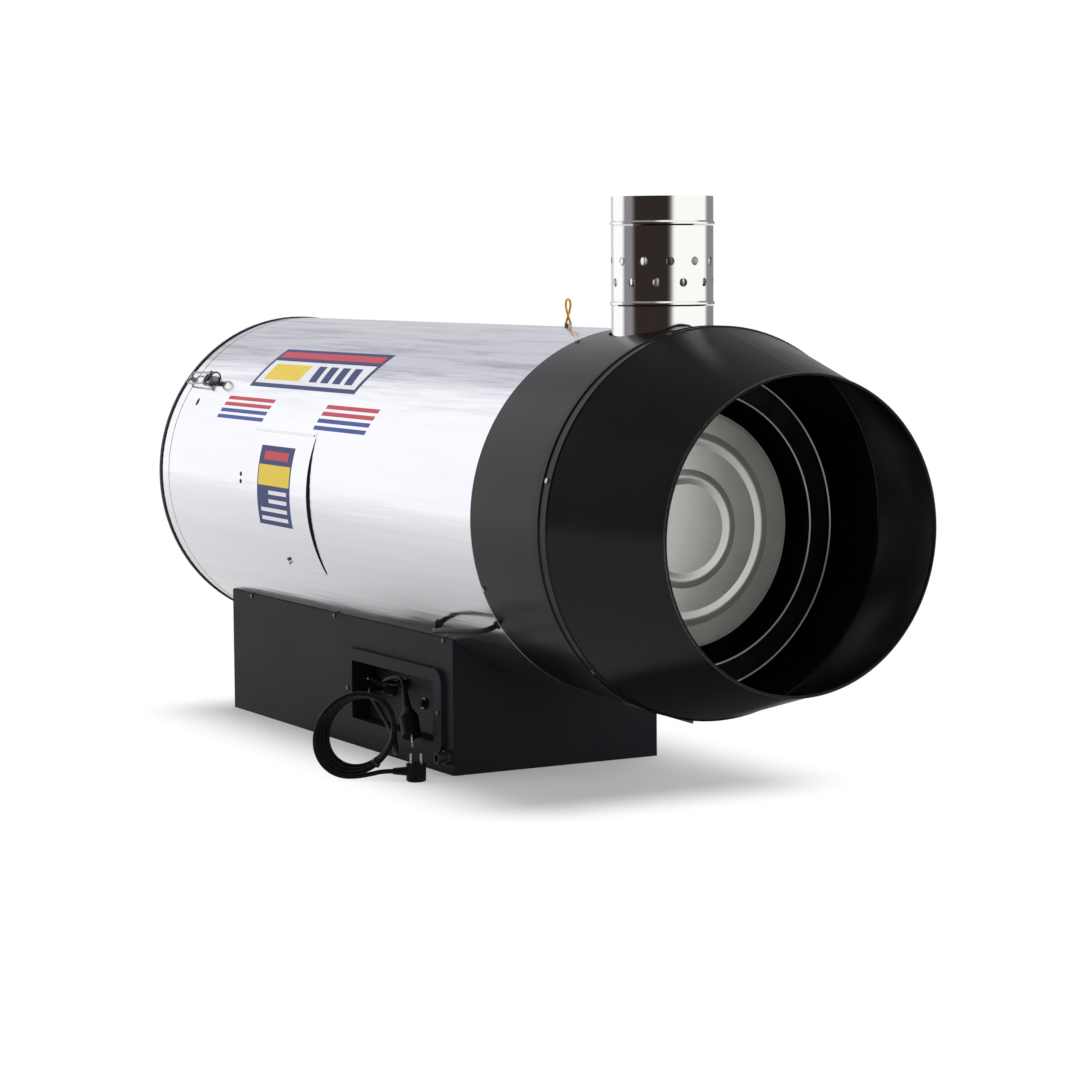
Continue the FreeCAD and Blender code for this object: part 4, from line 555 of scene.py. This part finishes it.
# Door gap strip: black rubber behind the flap's front edge, a dark thing that stands for the shade in the
# gap under the sprung edge. It goes with the flap.
gap_strip_front, gap_strip_rear, gap_strip_depth, gap_strip_clear = 0.2362, 0.2382, 0.005, 0.0001
gap_strip_low, gap_strip_high = -27.8, 19.8
turn = np.radians(np.linspace(gap_strip_low, gap_strip_high, 61))[:, None]
station = np.array([[gap_strip_front, gap_strip_rear, gap_strip_rear, gap_strip_front]])
under_flap = door_lift(station, turn) - flap_thick - gap_strip_clear
strand = on_drum(station + 0 * turn, turn + 0 * station,
                 drum_radius + np.where([[True, True, False, False]], under_flap, -gap_strip_depth))
ends = strand[[0, -1]].mean(axis=1, keepdims=True).repeat(4, axis=1)
# A dark strip standing for the shade under the sprung edge
gap_shade_strip = surface("door_gap_shade_strip", np.concatenate([ends[:1], strand, ends[1:]]), trim_rubber, round_v=True)
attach(gap_shade_strip, "door")

# Hole shades: low domes in the trim's dull black rubber over the two test holes and the slot.
# They are dark things that stand for the shade inside these holes.
shade_dome_height, shade_dome_wall = 0.0016, 0.0005
for name, y, angle, half_y, half_high in (("upper_hole_shade_dome", 0.560, 4.2, 0.0048, 0.0048),
                                          ("lower_hole_shade_dome", 0.560, 1.6, 0.0048, 0.0048),
                                          ("slot_shade_dome", 0.8735, 28.49, 0.0052, 0.0088)):
    reach, turn = np.meshgrid(np.linspace(0, np.pi / 2, 9), np.linspace(0, 2 * np.pi, 24, endpoint=False),
                              indexing="ij")
    # Painted shade: a black dome where the hole shows dark
    shade_dome = surface(name, on_drum(y + half_y * np.sin(reach) * np.cos(turn),
                                 np.radians(angle) - half_high / drum_radius * np.sin(reach) * np.sin(turn),
                                 drum_radius + shade_dome_height * np.cos(reach)), trim_rubber, round_v=True)
    give_wall(shade_dome, shade_dome_wall)
    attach(shade_dome, "heater")

# Rear seam: the casing's rear edge, rolled over to a thin bead that the cover band butts against.
# The cut edge has the dull grey of zinc.
seam_y, seam_sunk, seam_half = 0.945, 0.0004, 0.0009
seam = round_bead("rear_seam_seal", (0, seam_y, drum_axis_z), drum_radius - seam_sunk, seam_half, zinc)

# Draw latches: stamped levers with a pull ring, oil blackened, on bright zinc mounts and wire bails.
# The black is thin, so it clouds to steel grey. Support rail, switch bushes and panel screws have it too.
latch_black, latch_grey, latch_patch = "#3A3A3C", "#77787A", 0.005
latch_steel, tree, shader = new_finish("oil_blackened_steel", Metallic=1.0)
spot = add(tree, "ShaderNodeTexCoord", {})
patch = add(tree, "ShaderNodeTexNoise", {"Scale": 1 / latch_patch, "Detail": 3.0},
            {"Vector": spot.outputs["Object"]})
tone = add(tree, "ShaderNodeMix", {"data_type": "RGBA", 6: linear(latch_black), 7: linear(latch_grey)},
           {0: patch.outputs["Fac"]})
tree.links.new(tone.outputs[2], shader.inputs["Base Color"])
gloss = add(tree, "ShaderNodeMapRange", {"To Min": 0.28, "To Max": 0.45}, {"Value": patch.outputs["Fac"]})
tree.links.new(gloss.outputs["Result"], shader.inputs["Roughness"])
dress(latch_steel, "latch_lever_left", "latch_lever_right", "outlet_support_rail", "switch_bushes",
      "panel_screws")

# Flue pipe: mirror polished stainless, rolled, seamed and beaded.
# It shows the room almost as a mirror does, with a slight waviness from rolling.
mirror_pale, mirror_wave, mirror_run = "#F0EFED", 0.09, 1 / 3
mirror_steel, tree, shader = new_finish("mirror_polished_stainless", Metallic=1.0,
                                        Base_Color=linear(mirror_pale))
spot = add(tree, "ShaderNodeTexCoord", {})
upright = add(tree, "ShaderNodeMapping", {"Scale": (1 / mirror_wave, 1 / mirror_wave, 1 / mirror_run)},
              {"Vector": spot.outputs["Object"]})
wave = add(tree, "ShaderNodeTexNoise", {"Scale": 1.0, "Detail": 2.0}, {"Vector": upright.outputs["Vector"]})
rise = add(tree, "ShaderNodeBump", {"Strength": 0.25, "Distance": 0.003}, {"Height": wave.outputs["Fac"]})
tree.links.new(rise.outputs["Normal"], shader.inputs["Normal"])
gloss = add(tree, "ShaderNodeMapRange", {"To Min": 0.04, "To Max": 0.1}, {"Value": wave.outputs["Fac"]})
tree.links.new(gloss.outputs["Result"], shader.inputs["Roughness"])
dress(mirror_steel, "flue_pipe", "flue_stub")

# Outlet ring and cone: rolled sheet in heat-proof black, a dry satin coat.
# The coat scatters a wide weak sheen, and its peel of about 2 mm breaks the highlights.
# Thin beads of bright metal at the ring's rear edge and the cone's lip are painted edge highlights.
outlet_black, outlet_rub, outlet_peel, outlet_patch = "#070708", "#0C0C0D", 0.002, 0.09
outlet_coat, tree, shader = new_finish("heatproof_satin_black", Specular_IOR_Level=0.17)
spot = add(tree, "ShaderNodeTexCoord", {})
peel = add(tree, "ShaderNodeTexNoise", {"Scale": 1 / outlet_peel, "Detail": 2.0},
           {"Vector": spot.outputs["Object"]})
rise = add(tree, "ShaderNodeBump", {"Strength": 0.1, "Distance": 0.0002}, {"Height": peel.outputs["Fac"]})
tree.links.new(rise.outputs["Normal"], shader.inputs["Normal"])
cloud = add(tree, "ShaderNodeTexNoise", {"Scale": 1 / outlet_patch, "Detail": 3.0},
            {"Vector": spot.outputs["Object"]})
tone = add(tree, "ShaderNodeMix", {"data_type": "RGBA", 6: linear(outlet_black), 7: linear(outlet_rub)},
           {0: cloud.outputs["Fac"]})
tree.links.new(tone.outputs[2], shader.inputs["Base Color"])
gloss = add(tree, "ShaderNodeMapRange", {"To Min": 0.2, "To Max": 0.3}, {"Value": cloud.outputs["Fac"]})
tree.links.new(gloss.outputs["Result"], shader.inputs["Roughness"])
dress(outlet_coat, "outlet_ring", "outlet_cone")
for name, y, radius, half, finish in (("ring_rear_edge_highlight", -0.4460, 0.3323, 0.0009, zinc),
                                      ("lip_edge_highlight", -0.9912, 0.2686, 0.0013, latch_steel)):
    # Painted highlights: bright metal rings along the two edges
    highlight_bead = round_bead(name, (0, y, drum_axis_z), radius, half, finish)

# Hanging loop: bent wire with a yellow passivated zinc coat, held by a nut on top of the casing.
# The coat runs from gold to orange in soft bands of a few millimetres.
loop_gold, loop_amber, loop_band = "#F0B43A", "#D08A1E", 0.006
loop_coat, tree, shader = new_finish("yellow_passivated_zinc", Metallic=0.5, Roughness=0.32)
spot = add(tree, "ShaderNodeTexCoord", {})
bands = add(tree, "ShaderNodeTexNoise", {"Scale": 1 / loop_band, "Detail": 2.0},
            {"Vector": spot.outputs["Object"]})
tone = add(tree, "ShaderNodeMix", {"data_type": "RGBA", 6: linear(loop_amber), 7: linear(loop_gold)},
           {0: bands.outputs["Fac"]})
tree.links.new(tone.outputs[2], shader.inputs["Base Color"])
loop_station, loop_base_z, loop_tall, loop_wide, loop_half = -0.213, 0.8395, 0.0455, 0.017, 0.0021
loop_crossing, loop_apart = 0.24, 0.0024
# Over half a turn the height goes with the sine, and the width with the cosine times the sine's excess over
# the crossing, so the legs cross below the eye; they part along the drum with the cosine
share = np.linspace(0, np.pi, 97)
across = loop_wide * np.cos(share) * (np.sin(share) - loop_crossing)
aside = loop_apart * np.cos(share)
upward = loop_base_z + loop_tall * np.sin(share)
loop_line = np.stack([across, loop_station + aside, upward], -1)
ahead = np.gradient(loop_line, axis=0)
ahead /= np.linalg.norm(ahead, axis=1)[:, None]
side = np.cross(ahead, (0.0, 1.0, 0.0))
side /= np.linalg.norm(side, axis=1)[:, None]
# One more row without width closes each end
loop_line, ahead, side = (np.pad(rows, ((1, 1), (0, 0)), mode="edge")
                          for rows in (loop_line, ahead, side))
loop_reach = loop_half * np.pad(np.ones(len(share)), 1)[:, None, None]
turn = np.linspace(0, 2 * np.pi, 12, endpoint=False)[None, :, None]
loop = surface("hanging_loop", loop_line[:, None] + loop_reach * (np.cos(turn) * side[:, None]
               - np.sin(turn) * np.cross(ahead, side)[:, None]), loop_coat, round_v=True)
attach(loop, "heater")
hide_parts("wire_loop")

# Control pocket and reset button: deep-drawn pocket in matt black, moulded button in a collar.
# The pocket's coat is drier than the box's and a darker black, painted shade inside the pocket; the button
# shares it.
pocket_shade_black, pocket_grain = "#0B0B0C", 0.001
pocket_coat, tree, shader = new_finish("matt_black_pocket_shade_coat", Base_Color=linear(pocket_shade_black),
                                       Specular_IOR_Level=0.2)
spot = add(tree, "ShaderNodeTexCoord", {})
grain = add(tree, "ShaderNodeTexNoise", {"Scale": 1 / pocket_grain, "Detail": 2.0},
            {"Vector": spot.outputs["Object"]})
gloss = add(tree, "ShaderNodeMapRange", {"To Min": 0.6, "To Max": 0.8}, {"Value": grain.outputs["Fac"]})
tree.links.new(gloss.outputs["Result"], shader.inputs["Roughness"])
dress(pocket_coat, "control_recess", "reset_button")

# Labels: printed vinyl film, laid on the casing and on the door. They carry plain stripes and blocks.
# The film is a tenth of a millimetre thick, with a satin face that shows the sheet's waves a little.
film_thick, film_lift, film_step, film_grain = 0.0001, 0.00015, 0.00012, 0.004
film_colours = {"white": "#F0F0F4", "navy": "#2A3872", "red": "#CA404F", "blue": "#3450A0",
                "yellow": "#F0D23F"}
films = {}
for colour, code in film_colours.items():
    films[colour], tree, shader = new_finish("printed_vinyl_" + colour, Base_Color=linear(code),
                                             Specular_IOR_Level=0.2)
    spot = add(tree, "ShaderNodeTexCoord", {})
    grain = add(tree, "ShaderNodeTexNoise", {"Scale": 1 / film_grain, "Detail": 2.0},
                {"Vector": spot.outputs["Object"]})
    gloss = add(tree, "ShaderNodeMapRange", {"To Min": 0.28, "To Max": 0.42},
                {"Value": grain.outputs["Fac"]})
    tree.links.new(gloss.outputs["Result"], shader.inputs["Roughness"])


def film(name, field, block, layer, colour, body):
    """Block of a label: shares of the field's height and length, carried to stations and angles on the
    drum. The field's stations lean with its height, so its ends are slanted."""
    (front, rear), (low, high), lean = field
    (u_low, u_high), (v_front, v_rear), more_lean = block
    u, v = np.meshgrid(edged(u_low, u_high, 25), edged(v_front, v_rear, 33), indexing="ij")
    share = (u - u_low) / (u_high - u_low)
    y = front + (v + more_lean * share) * (rear - front) + lean * u
    angle = np.radians(low + (high - low) * u)
    lift = film_lift + layer * film_step + film_thick
    if body == "door":
        lift = lift + door_lift(y, angle)
    made = surface(name, on_drum(y, angle, drum_radius + lift), films[colour])
    give_wall(made, film_thick)
    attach(made, body)


panel_field = ((0.160, 0.658), (37.0, 55.6), -0.027)
film("label_back", panel_field, ((0, 1), (0, 1), 0), 0, "navy", "heater")
film("label_field", panel_field, ((0.09, 0.66), (0.025, 0.975), 0), 1, "white", "heater")
film("label_bar", panel_field, ((0.75, 0.92), (0.025, 0.975), 0), 1, "red", "heater")
slat_wide, slat_lean = 0.07, 0.03
for k, start in enumerate((0.08, 0.19, 0.30, 0.41)):
    film("label_slat_%d" % (k + 1), panel_field, ((0.18, 0.57), (start, start + slat_wide), slat_lean), 2,
         "navy", "heater")
film("label_block", panel_field, ((0.18, 0.57), (0.58, 0.92), 0.0), 2, "yellow", "heater")
stripe_pitch, stripe_wide = 0.28, 0.16
for place, field in (("rear", ((0.511, 0.741), (23.4, 32.2), -0.0195)),
                     ("front", ((0.033, 0.262), (22.7, 32.1), -0.020))):
    for k, colour in enumerate(("blue", "blue", "red", "red")):
        low = stripe_pitch * k
        film("%s_stripe_%d" % (place, k + 1), field, ((low, low + stripe_wide), (0, 1), 0), 0, colour,
             "heater")
plate_field = ((0.318, 0.479), (-12.3, 15.4), -0.0065)
film("door_label_back", plate_field, ((0, 1), (0, 1), 0), 0, "navy", "door")
film("door_label_block", plate_field, ((0.50, 0.76), (0.03, 0.97), 0), 1, "yellow", "door")
film("door_label_bar", plate_field, ((0.82, 0.93), (0.14, 0.86), 0), 1, "red", "door")
rule_tall, rule_front = 0.05, 0.1
for k, (low, wide) in enumerate(((0.06, 0.80), (0.17, 0.80), (0.28, 0.55), (0.39, 0.55))):
    film("door_label_line_%d" % (k + 1), plate_field,
         ((low, low + rule_tall), (rule_front, rule_front + wide), 0), 1, "white", "door")

# Mains cord: three-core rubber flex of 9 mm, which comes out of a gland in the control plate.
# It goes down into a standing coil of nearly four turns, held by a tie, and on along the floor to its plug.
# Its points are those of its route, with sixteen for each turn.
cord_thick, gland_run = 0.009, 0.016
plate_out = np.array([-0.978909, 0.0, 0.204294])
mains_exit = np.array([-0.20568, 0.165, 0.12332])
panel_corner = np.array([-0.231, 0.079, 0.033])
panel_scale = (-0.001, 0.001, 0.001)
mains_way = np.array([(5.5, 79.0, 93.0), (15.0, 65.5, 89.0), (19.0, 44.0, 79.0), (20.0, 7.0, 59.0),
                      (23.0, -30.0, 39.0), (30.0, -67.0, 22.0), (41.0, -101.0, 10.0), (56.0, -131.0, 4.0),
                      (70.0, -155.0, 5.0), (81.0, -175.0, 13.5)]) * panel_scale + panel_corner
coil_side = view_level
coil_near = np.array([coil_side[1], -coil_side[0], 0.0])
coil_foot = np.array([-0.402, -0.090, 0.0])
coil_start, coil_end, coil_step = 10.0, 1360.0, 0.1
coil_inner = np.array([0.021, 0.089, 0.0605, 0.065])
coil_outer = np.array([0.0095, 0.0855, 0.075, 0.079])
coil_lean, coil_back, coil_forward = 0.14, -0.020, 0.038
coil_run, tail_run = 0.026, 0.020
boot_near, boot_side, boot_high = 0.026, 0.124 - 0.0425, 0.019


def coil_line(degrees):
    """Loops in an upright plane: their middle and half widths go evenly from the inner to the outer turn,
    the top leans to the side, and the turns come forward one by one."""
    share = ((degrees - coil_start) / (coil_end - coil_start))[:, None]
    side, height, wide, tall = np.hsplit(coil_inner * (1 - share) + coil_outer * share, 4)
    turn = np.radians(degrees)[:, None]
    lift = tall * np.sin(turn)
    return (coil_foot + coil_side * (side + wide * np.cos(turn) + coil_lean * lift)
            + coil_near * (coil_back + coil_forward * share) + np.array([0, 0, 1.0]) * (height + lift))


coil_angles = np.linspace(coil_start, coil_end, 61)
coil_points = coil_line(coil_angles)
entry_way, exit_way = [
    (after - before) / np.linalg.norm(after - before) for before, after in
    (coil_line(np.array([at - coil_step, at + coil_step])) for at in (coil_start, coil_end))]
coil_entry = coil_points[0] - entry_way * cord_thick
coil_exit = coil_points[-1] + exit_way * cord_thick
boot_end = coil_foot + coil_near * boot_near + coil_side * boot_side + np.array([0, 0, boot_high])
mains_points = np.vstack([mains_exit, mains_exit + plate_out * gland_run, mains_way,
                          coil_entry - entry_way * coil_run, coil_points, coil_exit + exit_way * tail_run,
                          boot_end - coil_side * tail_run, boot_end])


def flex(name, points, thick, finish):
    """Round cord along one smooth spline that has the route's points as its control points."""
    line = bpy.data.curves.new(name, "CURVE")
    line.dimensions = "3D"
    strand = line.splines.new("NURBS")
    strand.points.add(len(points) - 1)
    strand.points.foreach_set("co", np.hstack([points, np.ones((len(points), 1))]).ravel())
    strand.order_u = 3
    strand.use_endpoint_u = True
    strand.resolution_u = 6
    line.bevel_depth = thick / 2
    line.bevel_resolution = 4
    line.use_fill_caps = True
    line.materials.append(finish)
    made = bpy.data.objects.new(name, line)
    scene.collection.objects.link(made)
    return made


# Cord rubber: extruded, a deep dry black with a grain that is drawn at 1 mm so that it shows
flex_black, flex_grain = "#0A0A0B", 0.01 / 9
flex_rubber, tree, shader = new_finish("black_cord_rubber", Base_Color=linear(flex_black),
                                       Specular_IOR_Level=0.12)
spot = add(tree, "ShaderNodeTexCoord", {})
grain = add(tree, "ShaderNodeTexNoise", {"Scale": 1 / flex_grain, "Detail": 2.0},
            {"Vector": spot.outputs["Object"]})
gloss = add(tree, "ShaderNodeMapRange", {"To Min": 0.3, "To Max": 0.5}, {"Value": grain.outputs["Fac"]})
tree.links.new(gloss.outputs["Result"], shader.inputs["Roughness"])
dress(flex_rubber, "mains_plug", "thermostat_plug")
dress(ground_steel, "plug_pins")
mains_cord = flex("mains_cord", mains_points, cord_thick, flex_rubber)
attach(mains_cord, "heater")
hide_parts("mains_lead", "mains_coil", "mains_tail")

# Thermostat lead: thin rubber flex of 7 mm, which comes out of its own gland in the control plate.
# It goes over the bezel's rim and hangs down to its plug.
lead_thick, hung_run = 0.007, 0.026
lead_exit = np.array([-0.2020, 0.118, 0.14094])
hung_way = np.array([-0.13, -0.55, -0.825])
hung_way /= np.linalg.norm(hung_way)
hung_top = panel_corner + np.array([-0.0075, -0.072, 0.1096])
lead_way = np.array([(-2.0, 32.0, 113.5), (5.0, 19.0, 117.0), (7.5, -2.0, 123.0),
                     (7.0, -29.0, 129.5)]) * panel_scale + panel_corner
lead_points = np.vstack([lead_exit, lead_exit + plate_out * gland_run, lead_way,
                         hung_top - hung_way * hung_run, hung_top])
thermostat_cord = flex("thermostat_cord", lead_points, lead_thick, flex_rubber)
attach(thermostat_cord, "heater")
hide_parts("thermostat_lead")

# Sensor lead: a stiff black sleeve of 10 mm over the sensor's wires.
# It leaves the casing above the box, arches forward and goes back in behind the ring.
sleeve_thick, sleeve_seat, ring_edge_y = 0.010, 0.0002, -0.446
sleeve_turns = np.radians([-40.0, -40.0, -38.5, -36.5, -35.2, -34.5, -34.2, -34.2])
sleeve_stations = np.array([277.0, 272.0, 246.0, 190.0, 120.0, 50.0, 16.0, 10.0]) / 1000
sleeve_lifts = np.array([2.0, 16.0, 27.0, 29.0, 29.0, 25.0, 15.0, 2.6]) / 1000
sleeve_radii = drum_radius + sleeve_seat + sleeve_lifts
sleeve_points = np.stack([-sleeve_radii * np.cos(sleeve_turns), ring_edge_y + sleeve_stations,
                          drum_axis_z + sleeve_radii * np.sin(sleeve_turns)], axis=-1)
sensor_lead = flex("sensor_lead", sleeve_points, sleeve_thick, flex_rubber)
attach(sensor_lead, "heater")
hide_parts("sensor_conduit")

# Grommets: moulded rubber collars round the two holes where the sensor lead goes through the casing.
# Each hugs the sleeve with a rounded lip and lies flat on the drum.
grommet_bore, grommet_half, grommet_tall = 0.0053, 0.0015, 0.0046
for name, station, angle in (("sensor_grommet_rear", sleeve_stations[0], sleeve_turns[0]),
                             ("sensor_grommet_front", sleeve_stations[-1], sleeve_turns[-1])):
    around, over = np.meshgrid(np.linspace(0, 2 * np.pi, 40, endpoint=False),
                               np.linspace(0, 2 * np.pi, 16, endpoint=False), indexing="ij")
    reach = grommet_bore + grommet_half * (1 + np.cos(over))
    high = grommet_tall * (1 + np.sin(over)) / 2
    collar = surface(name, on_drum(ring_edge_y + station + reach * np.cos(around),
                                   angle - reach * np.sin(around) / drum_radius, drum_radius + high),
                     trim_rubber, round_u=True, round_v=True)
    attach(collar, "heater")
